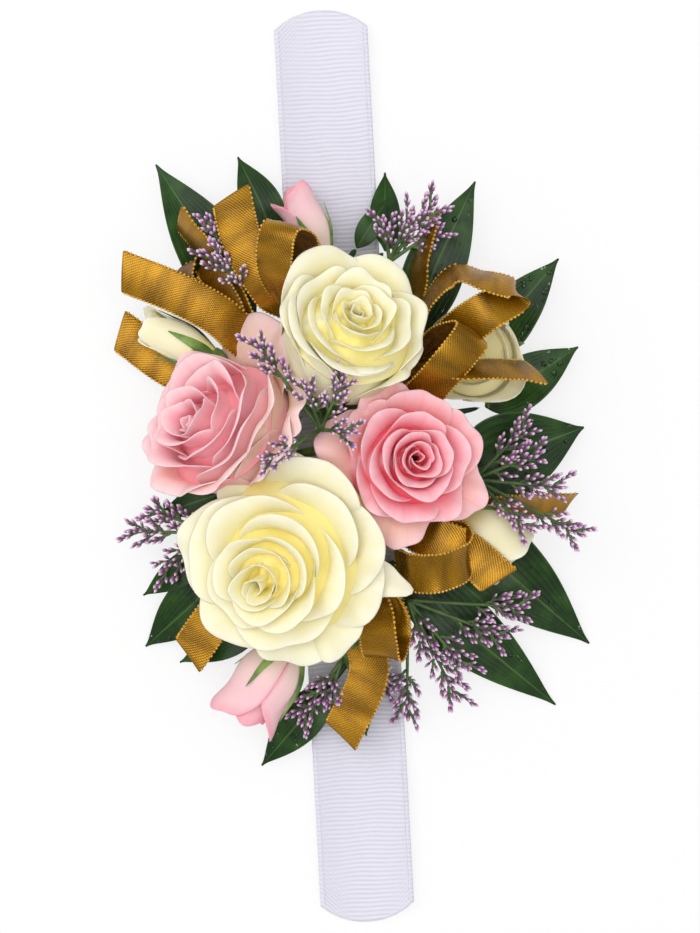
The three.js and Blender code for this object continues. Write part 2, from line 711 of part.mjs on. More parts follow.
// A bow: a wired knot on a short stem, with the ribbon's loops and tails running out of it.
function bow({ at, knot, strips }, grow) {
  const centre = vector(knot);
  const bodies = strips.map(({ path, across, loop }) => {
    const back = centre.clone().add(new THREE.Vector3(KNOT_SHIFT, KNOT_SHIFT, -KNOT_RADIUS / 2));
    const gathered = (t) => (loop ? Math.min(t, 1 - t) : t);
    return strip({
      path: [centre, ...path.map(vector), ...(loop ? [back] : [])],
      across: across.map(vector),
      halfWidth: (t) => lerp(RIBBON_PINCH, RIBBON_WIDTH, smoothstep(gathered(t), 0, 0.28)) / 2,
      thickness: RIBBON_THICKNESS,
      steps: loop ? 12 : 4,
      grow,
    });
  });
  const ball = solid(new THREE.SphereGeometry(KNOT_RADIUS + grow, 8, 5).translate(...knot));
  const route = [spinePoint(at, STEM_RISE), centre];
  const wire = stalk({ path: route, radius: () => WIRE_RADIUS, steps: 1, sides: 6, grow });
  return join([ball, wire, ...bodies]);
}

const group = new THREE.Group();
const taken = [];

function addMesh(name, body, colour, roughness, metalness = 0) {
  const material = new THREE.MeshStandardMaterial({ color: colour, roughness, metalness });
  const mesh = new THREE.Mesh(geometryOf(body), material);
  mesh.name = name;
  group.add(mesh);
}

// Cuts a body back from the space of every piece that is already in place.
function fitted(body) {
  return largest(
    taken.reduce((left, space) => (left.intersect(space).isEmpty() ? left : left.subtract(space)), body),
  );
}

// The band: a middle length under the flowers and two arms of links, each curling under the wrist.
function addBand() {
  const addLength = (name, start, end) => {
    const { sleeve, tape } = bandLength(start, end);
    addMesh(`${name}_sleeve`, sleeve, COLOURS.sleeve, 0.8);
    addMesh(`${name}_tape`, tape, COLOURS.tape, 0.35, 0.9);
  };
  const half = CENTRE_LENGTH / 2;
  const trim = LINK_GAP / 2;
  addLength("centre", -half + trim, half - trim);
  for (let i = 0; i < LINKS_PER_ARM; i += 1) {
    const near = half + i * LINK_LENGTH + trim;
    const far = half + (i + 1) * LINK_LENGTH - (i + 1 < LINKS_PER_ARM ? trim : 0);
    addLength(`upper_link_${i + 1}`, near, far);
    addLength(`lower_link_${i + 1}`, -far, -near);
  }
}

function addFlowers() {
  const above = SLEEVE_THICKNESS + ARM_GAP;
  const band = dishedStrip(BAND_WIDTH + 2 * ARM_GAP, -BAND_WIDTH, above, -BAND_LENGTH, BAND_LENGTH);
  addMesh("stem_spine", spine(0), COLOURS.spine, 0.7);
  addMesh("glue_pad", pad().subtract(spine(SEAT_GAP)), COLOURS.pad, 0.6);
  taken.push(spine(SEAT_GAP), band);
  for (const [name, rose] of Object.entries(ROSES)) {
    const colour = name.startsWith("pink") ? COLOURS.pink : COLOURS.white;
    addMesh(name, fitted(leant(bloom(rose), rose)), colour, 0.6);
    taken.push(leant(bloomSpace(rose), rose));
  }
  for (const [name, rose] of Object.entries(ROSES)) {
    addMesh(`${name}_calyx`, fitted(calyx(rose, 0)), COLOURS.green, 0.6);
    taken.push(calyx(rose, SEAT_GAP));
  }
  for (const [name, shape] of Object.entries(BUDS)) {
    addMesh(name, fitted(bud(shape, 0)), name.startsWith("pink") ? COLOURS.pink : COLOURS.white, 0.6);
    taken.push(bud(shape, SEAT_GAP));
  }
  for (const [name, shape] of Object.entries(BOWS)) {
    addMesh(name, fitted(bow(shape, 0)), COLOURS.gold, 0.4, 0.2);
    taken.push(bow(shape, SEAT_GAP));
  }
  for (const [name, shape] of Object.entries(LEAVES)) {
    addMesh(name, fitted(leaf(shape, 0)), COLOURS.leaf, 0.35);
    taken.push(leaf(shape, SEAT_GAP));
  }
  for (const [name, shape] of Object.entries(SPRIGS)) {
    addMesh(name, fitted(sprig(shape, 0)), COLOURS.statice, 0.7);
    taken.push(sprig(shape, SEAT_GAP));
  }
}

addBand();
addFlowers();

export default group;
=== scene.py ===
"""Looks of a wrist corsage: roses, buds, leaves, statice and gold bows on a ribbed slap band."""

import bisect
import logging
import math
import random
from collections.abc import Callable, Sequence
from dataclasses import dataclass, field
from enum import Enum

import bmesh
import bpy
import numpy as np
from mathutils import Matrix, Vector


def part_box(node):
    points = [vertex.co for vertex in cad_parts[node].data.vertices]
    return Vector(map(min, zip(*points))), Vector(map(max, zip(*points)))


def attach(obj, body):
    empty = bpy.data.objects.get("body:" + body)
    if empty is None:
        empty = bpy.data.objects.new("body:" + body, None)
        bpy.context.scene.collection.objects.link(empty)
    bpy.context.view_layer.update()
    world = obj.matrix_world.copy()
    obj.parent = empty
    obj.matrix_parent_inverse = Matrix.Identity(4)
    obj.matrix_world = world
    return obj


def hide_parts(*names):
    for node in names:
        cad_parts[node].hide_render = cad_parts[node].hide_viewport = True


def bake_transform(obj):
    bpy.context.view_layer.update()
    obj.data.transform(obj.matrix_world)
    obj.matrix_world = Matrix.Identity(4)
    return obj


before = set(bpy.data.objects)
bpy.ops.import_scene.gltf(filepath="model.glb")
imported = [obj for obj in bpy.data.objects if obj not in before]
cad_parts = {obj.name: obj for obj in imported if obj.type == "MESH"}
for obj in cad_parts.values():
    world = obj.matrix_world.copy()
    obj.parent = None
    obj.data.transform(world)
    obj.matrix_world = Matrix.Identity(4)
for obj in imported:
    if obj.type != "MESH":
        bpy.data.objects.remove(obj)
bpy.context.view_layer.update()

log = logging.getLogger("corsage")

MM = 0.001
ROOT = "corsage"
GOLDEN_TURN = 137.5
WEAVE_MAP = "weave"
PETAL_WALL = 0.35
SEAM_LAP = 1.02
OFF_STALKS = Vector((0.31, 0.17, 0.94))

Point = Sequence[float]
Colour = tuple[float, float, float, float]
Rule = Callable[[float, float], Vector]


def lerp(a: float, b: float, t: float) -> float:
    """The value at share t of the way from a to b."""
    return a + (b - a) * t


def smoothstep(x: float, low: float, high: float) -> float:
    """An even rise from 0 at low to 1 at high."""
    t = min(1.0, max(0.0, (x - low) / (high - low)))
    return t * t * (3 - 2 * t)


def unsmooth(y: float) -> float:
    """The share at which smoothstep from 0 to 1 has the value y."""
    return 0.5 - math.sin(math.asin(1 - 2 * y) / 3)


def srgb(red: int, green: int, blue: int) -> Colour:
    """A screen colour as the linear colour that a shader takes.

    Args:
        red: its red, from 0 to 255.
        green: its green.
        blue: its blue.

    Returns:
        The linear colour, opaque.
    """
    def linear(value: int) -> float:
        """One channel made linear."""
        share = value / 255
        return share / 12.92 if share <= 0.04045 else ((share + 0.055) / 1.055) ** 2.4
    return (linear(red), linear(green), linear(blue), 1.0)


class Tone:
    """A shader value that takes part in Python expressions."""

    def __init__(self, shader: "Shader", socket: bpy.types.NodeSocket) -> None:
        """Wraps an output socket of a shader's node."""
        self.shader = shader
        self.socket = socket

    def _math(self, operation: str, first: "Tone | float", second: "Tone | float") -> "Tone":
        """A Math node on two values."""
        return self.shader.node("ShaderNodeMath", {"operation": operation}, {0: first, 1: second})

    def __add__(self, other: "Tone | float") -> "Tone":
        """Sum."""
        return self._math("ADD", self, other)

    __radd__ = __add__

    def __sub__(self, other: "Tone | float") -> "Tone":
        """Difference."""
        return self._math("SUBTRACT", self, other)

    def __rsub__(self, other: float) -> "Tone":
        """Difference from a number."""
        return self._math("SUBTRACT", other, self)

    def __mul__(self, other: "Tone | float") -> "Tone":
        """Product."""
        return self._math("MULTIPLY", self, other)

    __rmul__ = __mul__

    def __abs__(self) -> "Tone":
        """Size without its sign."""
        return self._math("ABSOLUTE", self, 0.0)

    def wave(self, pitch: float) -> "Tone":
        """A wave from 0 to 1 that repeats at a pitch."""
        return self._math("SINE", self * (2 * math.pi / pitch), 0.0) * 0.5 + 0.5

    def rise(self, low: float, high: float) -> "Tone":
        """An even rise from 0 at low to 1 at high."""
        inputs = {0: self, 1: low, 2: high}
        return self.shader.node("ShaderNodeMapRange", {"interpolation_type": "SMOOTHSTEP"}, inputs)


class Shader:
    """The node tree of a material or of the world."""

    def __init__(self, owner: bpy.types.Material | bpy.types.World) -> None:
        """Empties the node tree of a material or a world.

        Args:
            owner: the material or the world.
        """
        owner.use_nodes = True
        self.tree = owner.node_tree
        self.tree.nodes.clear()

    def node(self, kind: str, settings: dict | None = None, inputs: dict | None = None,
             output: int | str = 0) -> Tone:
        """Adds a node.

        Args:
            kind: the node's type.
            settings: its properties, set first.
            inputs: values or links of its sockets, by name or number.
            output: the output socket that is wanted.

        Returns:
            The output as a tone.
        """
        made = self.tree.nodes.new(kind)
        for key, value in (settings or {}).items():
            setattr(made, key, value)
        for key, value in (inputs or {}).items():
            if isinstance(value, Tone):
                self.tree.links.new(value.socket, made.inputs[key])
            else:
                made.inputs[key].default_value = value
        return Tone(self, made.outputs[output])

    def flat_map(self) -> Tone:
        """The piece's own map as a vector."""
        return self.node("ShaderNodeUVMap", {"uv_map": WEAVE_MAP})

    def uv(self) -> tuple[Tone, Tone]:
        """The two coordinates of the piece's own map.

        Returns:
            The one across the piece and the one along it.
        """
        split = {"Vector": self.flat_map()}
        across, along = (self.node("ShaderNodeSeparateXYZ", None, split, axis) for axis in "XY")
        return across, along

    def attribute(self, name: str) -> Tone:
        """A number that the mesh carries at its points."""
        return self.node("ShaderNodeAttribute", {"attribute_name": name}, None, "Fac")

    def place(self, scale: Point = (1, 1, 1)) -> Tone:
        """Object coordinates, stretched by a scale."""
        place = self.node("ShaderNodeTexCoord", None, None, "Object")
        return self.node("ShaderNodeMapping", None, {"Vector": place, "Scale": scale})

    def flat_place(self, scale: Point) -> Tone:
        """The piece's own map, stretched by a scale."""
        return self.node("ShaderNodeMapping", None, {"Vector": self.flat_map(), "Scale": scale})

    def ray(self, kind: str) -> Tone:
        """1 for rays of a kind, such as Camera, and 0 for the rest."""
        return self.node("ShaderNodeLightPath", None, None, f"Is {kind} Ray")

    def noise(self, place: Tone, scale: float, detail: float = 3.0) -> Tone:
        """Smooth noise from 0 to 1."""
        return self.node("ShaderNodeTexNoise", None, {"Vector": place, "Scale": scale, "Detail": detail})

    def mix(self, factor: Tone | float, first: Tone | Colour, second: Tone | Colour) -> Tone:
        """A blend of two colours."""
        return self.node("ShaderNodeMix", {"data_type": "RGBA"}, {0: factor, 6: first, 7: second}, 2)

    def bump(self, height: Tone, strength: float, distance: float) -> Tone:
        """A bumped normal, with its depth in metres."""
        inputs = {"Height": height, "Strength": strength, "Distance": distance}
        return self.node("ShaderNodeBump", None, inputs)

    def principled(self, inputs: dict) -> None:
        """Joins the main shader to the material's output."""
        self.show(self.node("ShaderNodeBsdfPrincipled", None, inputs))

    def show(self, shader: Tone, kind: str = "ShaderNodeOutputMaterial") -> None:
        """Joins a shader to the tree's output."""
        output = self.tree.nodes.new(kind)
        self.tree.links.new(shader.socket, output.inputs["Surface"])


@dataclass(frozen=True)
class Finish:
    """A surface finish and the record's slot that it belongs to."""

    name: str
    slot: str | None

    def dress(self, shader: Shader) -> None:
        """Builds the finish's nodes."""
        raise NotImplementedError

    def material(self) -> bpy.types.Material:
        """The finish as a material, made once.

        Returns:
            The material.
        """
        found = bpy.data.materials.get(self.name)
        if found is None:
            found = bpy.data.materials.new(self.name)
            self.dress(Shader(found))
        return found


@dataclass(frozen=True)
class PetalFinish(Finish):
    """A petal: deep at the foot and the heart, pale at the rim, with fine lengthwise veins."""

    heart: Colour
    body: Colour
    foot: Colour
    rim: Colour
    guard: Colour
    foot_reach: float = 0.55
    foot_share: float = 0.9
    rim_start: float = 0.84
    side_start: float = 0.86
    rim_share: float = 0.75
    vein_pitch: Point = (26, 1.6, 1)
    vein_share: float = 0.16
    blotch_scale: float = 90.0
    blotch_share: float = 0.12

    def dress(self, shader: Shader) -> None:
        """Builds the finish's nodes.

        Args:
            shader: the material's node tree.
        """
        across, along = shader.uv()
        edge = abs(across * 2 - 1).rise(self.side_start, 1.0)
        rim = 1 - (1 - along.rise(self.rim_start, 1.0)) * (1 - edge)
        veins = shader.noise(shader.flat_place(self.vein_pitch), 1.0)
        blotch = shader.noise(shader.place(), self.blotch_scale)
        colour = shader.mix(shader.attribute("layer").rise(0.05, 0.8), self.heart, self.body)
        colour = shader.mix((1 - along.rise(0.1, self.foot_reach)) * self.foot_share, colour, self.foot)
        colour = shader.mix(shader.attribute("guard"), colour, self.guard)
        colour = shader.mix(rim * self.rim_share, colour, self.rim)
        colour = shader.mix(veins.rise(0.45, 0.8) * self.vein_share, colour, self.foot)
        colour = shader.mix(blotch.rise(0.5, 0.8) * self.blotch_share, colour, self.rim)
        shader.principled({
            "Base Color": colour,
            "Roughness": 0.42 + veins * 0.2,
            "Normal": shader.bump(veins + blotch * 0.5, 0.15, 0.0004),
            "Subsurface Weight": 0.15,
            "Subsurface Radius": (1.0, 0.9, 0.8),
            "Subsurface Scale": 0.001,
            "Specular IOR Level": 0.2,
        })


@dataclass(frozen=True)
class LeafFinish(Finish):
    """A glossy leaf with a pale midrib and fine veins that run to its tip."""

    dark: Colour
    light: Colour
    rib: Colour
    midrib_width: float = 0.07
    midrib_share: float = 0.6
    vein_pitch: float = 0.085
    vein_share: float = 0.1
    edge_start: float = 0.93
    edge_share: float = 0.5
    mottle_scale: float = 140.0
    fleck_scale: float = 700.0

    def dress(self, shader: Shader) -> None:
        """Builds the finish's nodes.

        Args:
            shader: the material's node tree.
        """
        across = shader.uv()[0]
        side = abs(across * 2 - 1)
        midrib = 1 - side.rise(0.0, self.midrib_width)
        veins = across.wave(self.vein_pitch)
        mottle = shader.noise(shader.place(), self.mottle_scale)
        fleck = shader.noise(shader.place(), self.fleck_scale)
        colour = shader.mix(mottle.rise(0.35, 0.75), self.dark, self.light)
        colour = shader.mix(midrib * self.midrib_share, colour, self.rib)
        colour = shader.mix(veins.rise(0.7, 1.0) * self.vein_share, colour, self.rib)
        colour = shader.mix(side.rise(self.edge_start, 1.0) * self.edge_share, colour, self.rib)
        shader.principled({
            "Base Color": colour,
            "Roughness": 0.26 + fleck * 0.22,
            "Normal": shader.bump(veins * 0.25 + mottle, 0.3, 0.0004),
            "Coat Weight": 0.04 + mottle * 0.1,
            "Coat Roughness": 0.15,
            "Specular IOR Level": 0.22,
        })


@dataclass(frozen=True)
class SatinFinish(Finish):
    """Satin ribbon: slanting twill lines with a painted sparkle, and a painted sheen that makes it lighter
    and darker along its length.
    """

    dark: Colour
    light: Colour
    twill: float = 0.7
    slant: float = 0.8
    weft: float = 0.42
    grain_pitch: Point = (3.2, 3.2, 1)
    painted_sheen_pitch: Point = (0.05, 0.16, 1)

    def dress(self, shader: Shader) -> None:
        """Builds the finish's nodes.

        Args:
            shader: the material's node tree.
        """
        across, along = shader.uv()
        twill = (across + along * self.slant).wave(self.twill)
        grain = shader.noise(shader.flat_place(self.grain_pitch), 1.0)
        # painted sheen: broad noise bands across the ribbon paint lighter and darker zones along it, in place
        # of the satin's reflection
        painted_sheen = shader.noise(shader.flat_place(self.painted_sheen_pitch), 1.0).rise(0.3, 0.7)
        thread = twill * 0.6 + along.wave(self.weft) * 0.4
        # the twill lines are the weave, painted lighter as a sparkle as well as bumped; the grain is random
        # tone
        weave_and_painted_sheen = thread.rise(0.2, 0.9) * 0.42 + painted_sheen * 0.44 + grain * 0.16
        shader.principled({
            "Base Color": shader.mix(weave_and_painted_sheen, self.dark, self.light),
            "Metallic": 0.66,
            "Roughness": 0.18 + grain * 0.16,
            "Normal": shader.bump(thread + grain * 0.6, 0.5, 0.00008),
            "Anisotropic": 0.5,
        })


@dataclass(frozen=True)
class WovenFinish(Finish):
    """White ribbed ribbon with thread along each rib, painted darker in the valleys between the ribs as
    shade.
    """

    crest: Colour
    valley: Colour
    thread_pitch: Point = (9, 90, 9)
    thread_scale: float = 60.0
    soil_scale: float = 40.0

    def dress(self, shader: Shader) -> None:
        """Builds the finish's nodes.

        Args:
            shader: the material's node tree.
        """
        valley = shader.attribute("valley")
        thread = shader.noise(shader.place(self.thread_pitch), self.thread_scale)
        soil = shader.noise(shader.place(), self.soil_scale)
        # painted shade: the colour darkens towards the valley colour where the rib dips, with soil as random
        # tone
        colour = shader.mix(valley * 0.85 + soil * 0.1, self.crest, self.valley)
        shader.principled({
            "Base Color": colour,
            "Roughness": 0.6 + thread * 0.25,
            "Normal": shader.bump(thread, 0.3, 0.0002),
            "Sheen Weight": 0.3,
        })


@dataclass(frozen=True)
class SpeckledFinish(Finish):
    """A plain fresh or waxed surface: two close colours in a fine mottle."""

    dark: Colour
    light: Colour
    scale: float = 220.0
    roughness: float = 0.5
    metallic: float = 0.0
    grain: Point = (1, 1, 1)

    def dress(self, shader: Shader) -> None:
        """Builds the finish's nodes.

        Args:
            shader: the material's node tree.
        """
        mottle = shader.noise(shader.place(self.grain), self.scale)
        fine = shader.noise(shader.place(self.grain), self.scale * 6)
        shader.principled({
            "Base Color": shader.mix(mottle.rise(0.3, 0.7), self.dark, self.light),
            "Roughness": self.roughness + fine * 0.18 - 0.09,
            "Metallic": self.metallic,
            "Normal": shader.bump(mottle + fine * 0.5, 0.25, 0.0003),
        })


@dataclass(frozen=True)
class FloretFinish(Finish):
    """A papery floret: purple at its foot and almost white at its tip, the white partly the tip's own paler
    colour and partly a painted highlight.
    """

    deep: Colour
    lilac: Colour
    tip: Colour
    mottle_scale: float = 600.0

    def dress(self, shader: Shader) -> None:
        """Builds the finish's nodes.

        Args:
            shader: the material's node tree.
        """
        height = shader.attribute("height")
        mottle = shader.noise(shader.place(), self.mottle_scale)
        colour = shader.mix(height.rise(0.05, 0.55), self.deep, self.lilac)
        # the flecked white tip is partly the tip's own paler colour and partly a painted highlight
        colour = shader.mix(height.rise(0.45, 0.9) * mottle.rise(0.15, 0.5), colour, self.tip)
        shader.principled({
            "Base Color": colour,
            "Roughness": 0.4 + mottle * 0.2,
            "Sheen Weight": 0.2,
        })


@dataclass(frozen=True)
class WaterFinish(Finish):
    """A clear water drop."""

    tint: Colour = (0.9, 0.95, 0.92, 1.0)
    bending: float = 1.33

    def dress(self, shader: Shader) -> None:
        """Builds the finish's nodes.

        Args:
            shader: the material's node tree.
        """
        shader.principled({
            "Base Color": self.tint,
            "Roughness": 0.03,
            "Transmission Weight": 1.0,
            "IOR": self.bending,
        })


@dataclass(frozen=True)
class FloorFinish(Finish):
    """A clear floor before the white world: it keeps a faint shadow, and shows what curls below it."""

    paper: Colour = srgb(247, 247, 247)
    shade: float = 0.25
    near: float = 0.18
    far: float = 0.6

    def dress(self, shader: Shader) -> None:
        """Builds the finish's nodes.

        Args:
            shader: the material's node tree.
        """
        paper = shader.node("ShaderNodeBsdfDiffuse", None, {"Color": self.paper})
        white = shader.node("ShaderNodeEmission", None, {"Color": (1, 1, 1, 1), "Strength": 1.0})
        clear = shader.node("ShaderNodeBsdfTransparent", None, {"Color": (1, 1, 1, 1)})
        shiny = (shader.ray("Glossy") + shader.ray("Transmission")) * (1 - self.shade)
        lit = shader.node("ShaderNodeMixShader", None, {0: shiny, 1: paper, 2: white})
        away = shader.node("ShaderNodeVectorMath", {"operation": "LENGTH"}, {0: shader.place()}, "Value")
        faint = (1 - away.rise(self.near, self.far)) * self.shade
        factor = shader.ray("Camera") * (1 - faint) + shader.ray("Shadow")
        shader.show(shader.node("ShaderNodeMixShader", None, {0: factor, 1: lit, 2: clear}))


WHITE_PETAL = PetalFinish(
    "cream_petal", "white_petal",
    heart=srgb(249, 236, 150), body=srgb(246, 240, 200), foot=srgb(249, 231, 136),
    rim=srgb(246, 243, 222), guard=srgb(246, 242, 216))
PINK_PETAL = PetalFinish(
    "rose_pink_petal", "pink_petal",
    heart=srgb(246, 122, 142), body=srgb(253, 176, 188), foot=srgb(240, 92, 108),
    rim=srgb(253, 208, 214), guard=srgb(252, 210, 196))
PALE_PINK_PETAL = PetalFinish(
    "pale_pink_petal", "pink_petal",
    heart=srgb(250, 166, 180), body=srgb(252, 190, 198), foot=srgb(246, 148, 156),
    rim=srgb(252, 218, 222), guard=srgb(242, 212, 190))
BLUSH_PETAL = PetalFinish(
    "blush_petal", "pink_petal",
    heart=srgb(250, 164, 180), body=srgb(250, 200, 208), foot=srgb(250, 228, 212),
    rim=srgb(246, 160, 178), guard=srgb(250, 206, 190), foot_reach=0.8)
GREENISH_PETAL = PetalFinish(
    "green_white_petal", "white_petal",
    heart=srgb(249, 238, 162), body=srgb(246, 240, 200), foot=srgb(246, 232, 140),
    rim=srgb(246, 243, 222), guard=srgb(246, 240, 198), foot_reach=0.42)
LEAF = LeafFinish(
    "glossy_leaf", "leaf", dark=srgb(16, 46, 8), light=srgb(42, 82, 20), rib=srgb(88, 126, 52))
# dark and light are the painted shade and painted highlight of the satin's sheen and sparkle
SATIN = SatinFinish("gold_ribbon", "gold_satin", dark=srgb(64, 37, 0), light=srgb(200, 145, 24))
# the ribbon's dull back, its colour painted darker as the shade inside the loops
SATIN_BACK_PAINTED_SHADE = SpeckledFinish(
    "dull_ribbon_back_painted_shade", "gold_satin", srgb(92, 56, 8), srgb(128, 84, 22), scale=500.0, roughness=0.6)
BEADS = SpeckledFinish(
    "gold_edge_beads", "gold_satin", srgb(190, 136, 36), srgb(236, 188, 84), scale=900.0,
    roughness=0.35, metallic=0.3)
# the second colour is the painted shade in the valleys between the ribs
GROSGRAIN = WovenFinish("white_ribbed_ribbon", "grosgrain", srgb(230, 229, 240), srgb(198, 197, 213))
STEEL = SpeckledFinish(
    "rolled_steel", "spring_steel", srgb(150, 154, 158), srgb(196, 200, 204), scale=60.0,
    roughness=0.3, metallic=1.0, grain=(20, 1, 1))
GLUE = SpeckledFinish("milky_glue", "glue", srgb(226, 218, 200), srgb(244, 240, 228), roughness=0.3)
WRAP = SpeckledFinish("crepe_wrap", "floral_tape", srgb(66, 92, 40), srgb(104, 134, 62), scale=300.0,
                      roughness=0.65, grain=(1, 3, 1))
SEPAL = SpeckledFinish("pale_sepal", "green_stem", srgb(74, 112, 44), srgb(142, 172, 88))
TWIG = SpeckledFinish("dark_twig", "statice", srgb(54, 80, 40), srgb(92, 120, 66))
# tip is partly the tip's own paler colour and partly a painted highlight
FLORET = FloretFinish(
    "lilac_floret", "statice", deep=srgb(74, 34, 76), lilac=srgb(150, 88, 144), tip=srgb(240, 214, 234))
WATER = WaterFinish("water_drop", None)
FLOOR = FloorFinish("white_floor", None)


class Route:
    """A smooth line through points, measured by its length."""

    SAMPLES = 24

    def __init__(self, points: Sequence[Point]) -> None:
        """Draws the line through the points, which are in millimetres.

        Args:
            points: what it passes through, in turn.
        """
        knots = [np.array(p, float) for p in points]
        ends = [2 * knots[0] - knots[1], *knots, 2 * knots[-1] - knots[-2]]
        line = [knots[0]]
        for group in zip(ends, ends[1:], ends[2:], ends[3:]):
            line.extend(self._span(*group))
        self.points = [Vector(p) for p in line]
        self.reach = [0.0]
        for a, b in zip(self.points, self.points[1:]):
            self.reach.append(self.reach[-1] + max((b - a).length, 1e-9))
        self.length = self.reach[-1]

    def _span(self, a: np.ndarray, b: np.ndarray, c: np.ndarray, d: np.ndarray) -> list[np.ndarray]:
        """One stretch of the line.

        Args:
            a: the point before the stretch.
            b: its start.
            c: its end.
            d: the point after it.

        Returns:
            Points from b to c, without b.
        """
        gaps = [max(1e-6, np.linalg.norm(q - p) ** 0.5) for p, q in ((a, b), (b, c), (c, d))]
        start = ((b - a) / gaps[0] - (c - a) / (gaps[0] + gaps[1]) + (c - b) / gaps[1]) * gaps[1]
        end = ((c - b) / gaps[1] - (d - b) / (gaps[1] + gaps[2]) + (d - c) / gaps[2]) * gaps[1]
        made = []
        for i in range(1, self.SAMPLES + 1):
            t = i / self.SAMPLES
            made.append(b + start * t + (3 * (c - b) - 2 * start - end) * t**2
                        + (start + end - 2 * (c - b)) * t**3)
        return made

    def at(self, t: float) -> Vector:
        """A point of the line.

        Args:
            t: the share of its length.

        Returns:
            The point there.
        """
        place = min(max(t, 0.0), 1.0) * self.length
        i = min(max(bisect.bisect_right(self.reach, place), 1), len(self.points) - 1)
        share = (place - self.reach[i - 1]) / (self.reach[i] - self.reach[i - 1])
        return self.points[i - 1].lerp(self.points[i], share)

    def heading(self, t: float) -> Vector:
        """The direction at share t of the length."""
        step = 0.004
        return (self.at(min(1, t + step)) - self.at(max(0, t - step))).normalized()


class Model:
    """A mesh in the making, in millimetres."""

    def __init__(self, *numbers: str) -> None:
        """Starts an empty mesh whose points carry the named numbers."""
        self.bm = bmesh.new()
        self.closed = False
        self.map = self.bm.loops.layers.uv.new(WEAVE_MAP)
        self.numbers = {name: self.bm.verts.layers.float.new(name) for name in numbers}

    def grid(self, columns: int, rows: int, rule: Rule, size: Point = (1, 1), **numbers: float) -> list:
        """Adds a sheet of faces.

        Args:
            columns: faces across.
            rows: faces along.
            rule: gives a point from u, -1 to 1 across, and v, 0 to 1 along.
            size: the extent of the sheet's map.
            numbers: values that its points carry.

        Returns:
            The new points.
        """
        made = bmesh.ops.create_grid(
            self.bm, x_segments=columns, y_segments=rows, size=1.0, calc_uvs=True)["verts"]
        for face in {f for vert in made for f in vert.link_faces}:
            face.smooth = True
            for loop in face.loops:
                u, v = loop.vert.co.x, loop.vert.co.y
                loop[self.map].uv = ((u + 1) / 2 * size[0], (v + 1) / 2 * size[1])
        for vert in made:
            vert.co = rule(vert.co.x, (vert.co.y + 1) / 2)
        self.carry(made, **numbers)
        return made

    def carry(self, verts: list, **numbers: float) -> None:
        """Gives points their numbers.

        Args:
            verts: the points.
            numbers: the values that they carry, by name.
        """
        for name, value in numbers.items():
            for vert in verts:
                vert[self.numbers[name]] = value

    def tube(self, route: Route, radius: Callable[[float], float], sides: int, rows: int) -> None:
        """Adds a round stalk, closed at both ends.

        Args:
            route: its middle line.
            radius: gives its radius at a share of its length.
            sides: faces round it.
            rows: faces along it.
        """
        def rule(u: float, v: float) -> Vector:
            """A point of the stalk.

            Args:
                u: its place round, from -1 to 1.
                v: its place along, from 0 to 1.

            Returns:
                The point.
            """
            along = route.heading(v)
            side = along.cross(OFF_STALKS).normalized()
            turn = u * math.pi
            out = side * math.cos(turn) + side.cross(along) * math.sin(turn)
            return route.at(v) + out * (radius(v) if 0 < v < 1 else 0.0)

        self.closed = True
        self.grid(sides, rows, rule)

    def seal(self) -> None:
        """Closes seams and poles, and turns the faces outwards."""
        bmesh.ops.remove_doubles(self.bm, verts=self.bm.verts, dist=1e-4)
        bmesh.ops.dissolve_degenerate(self.bm, dist=1e-5, edges=self.bm.edges)
        bmesh.ops.recalc_face_normals(self.bm, faces=self.bm.faces)

    def ball(self, centre: Vector, size: Point, turn: Matrix, **numbers: float) -> list:
        """Adds a small ellipsoid of a few faces.

        Args:
            centre: its middle.
            size: its three half lengths.
            turn: how it is turned.
            numbers: values that its points carry.

        Returns:
            The new points.
        """
        matrix = Matrix.Translation(centre) @ turn.to_4x4() @ Matrix.Diagonal((*size, 1))
        made = bmesh.ops.create_icosphere(self.bm, subdivisions=1, radius=1.0, matrix=matrix)["verts"]
        for face in {f for vert in made for f in vert.link_faces}:
            face.smooth = True
        self.carry(made, **numbers)
        return made

    def place(self, turn: Matrix, point: Vector) -> None:
        """Turns the whole mesh and sets it on a point."""
        bmesh.ops.transform(
            self.bm, matrix=Matrix.Translation(point) @ turn.to_4x4(), verts=self.bm.verts)

    def piece(self, name: str, finish: Finish, nodes: Sequence[str] = (), wall: float = 0.0,
              levels: int = 0, body: str | None = ROOT, sides: Sequence[Finish] = ()) -> bpy.types.Object:
        """Makes the mesh a finished piece.

        Args:
            name: the piece's name.
            finish: its finish.
            nodes: the solids that it stands for.
            wall: the thickness that a sheet gets, in millimetres.
            levels: rounds of smoothing.
            body: what it rides on, or None if it rides on nothing.
            sides: the finishes of a sheet's two sides, if they differ.

        Returns:
            The new object.
        """
        if self.closed:
            self.seal()
        bmesh.ops.scale(self.bm, vec=(MM, MM, MM), verts=self.bm.verts)
        mesh = bpy.data.meshes.new(name)
        self.bm.to_mesh(mesh)
        self.bm.free()
        for side in sides or [finish]:
            mesh.materials.append(side.material())
        made = bpy.data.objects.new(name, mesh)
        bpy.context.scene.collection.objects.link(made)
        if wall:
            solid = made.modifiers.new("wall", "SOLIDIFY")
            solid.thickness = wall * MM
            solid.offset = 0.0
            solid.material_offset = len(mesh.materials) - 1
        if levels:
            smooth = made.modifiers.new("smooth", "SUBSURF")
            smooth.levels = levels
            smooth.render_levels = levels
        if body:
            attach(made, body)
        if nodes:
            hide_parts(*nodes)
        log.info("%s: %d faces", name, len(mesh.polygons))
        return made


def turn_to(direction: Vector) -> Matrix:
    """The least turn that takes +Z to a direction."""
    return Vector((0, 0, 1)).rotation_difference(direction).to_matrix()


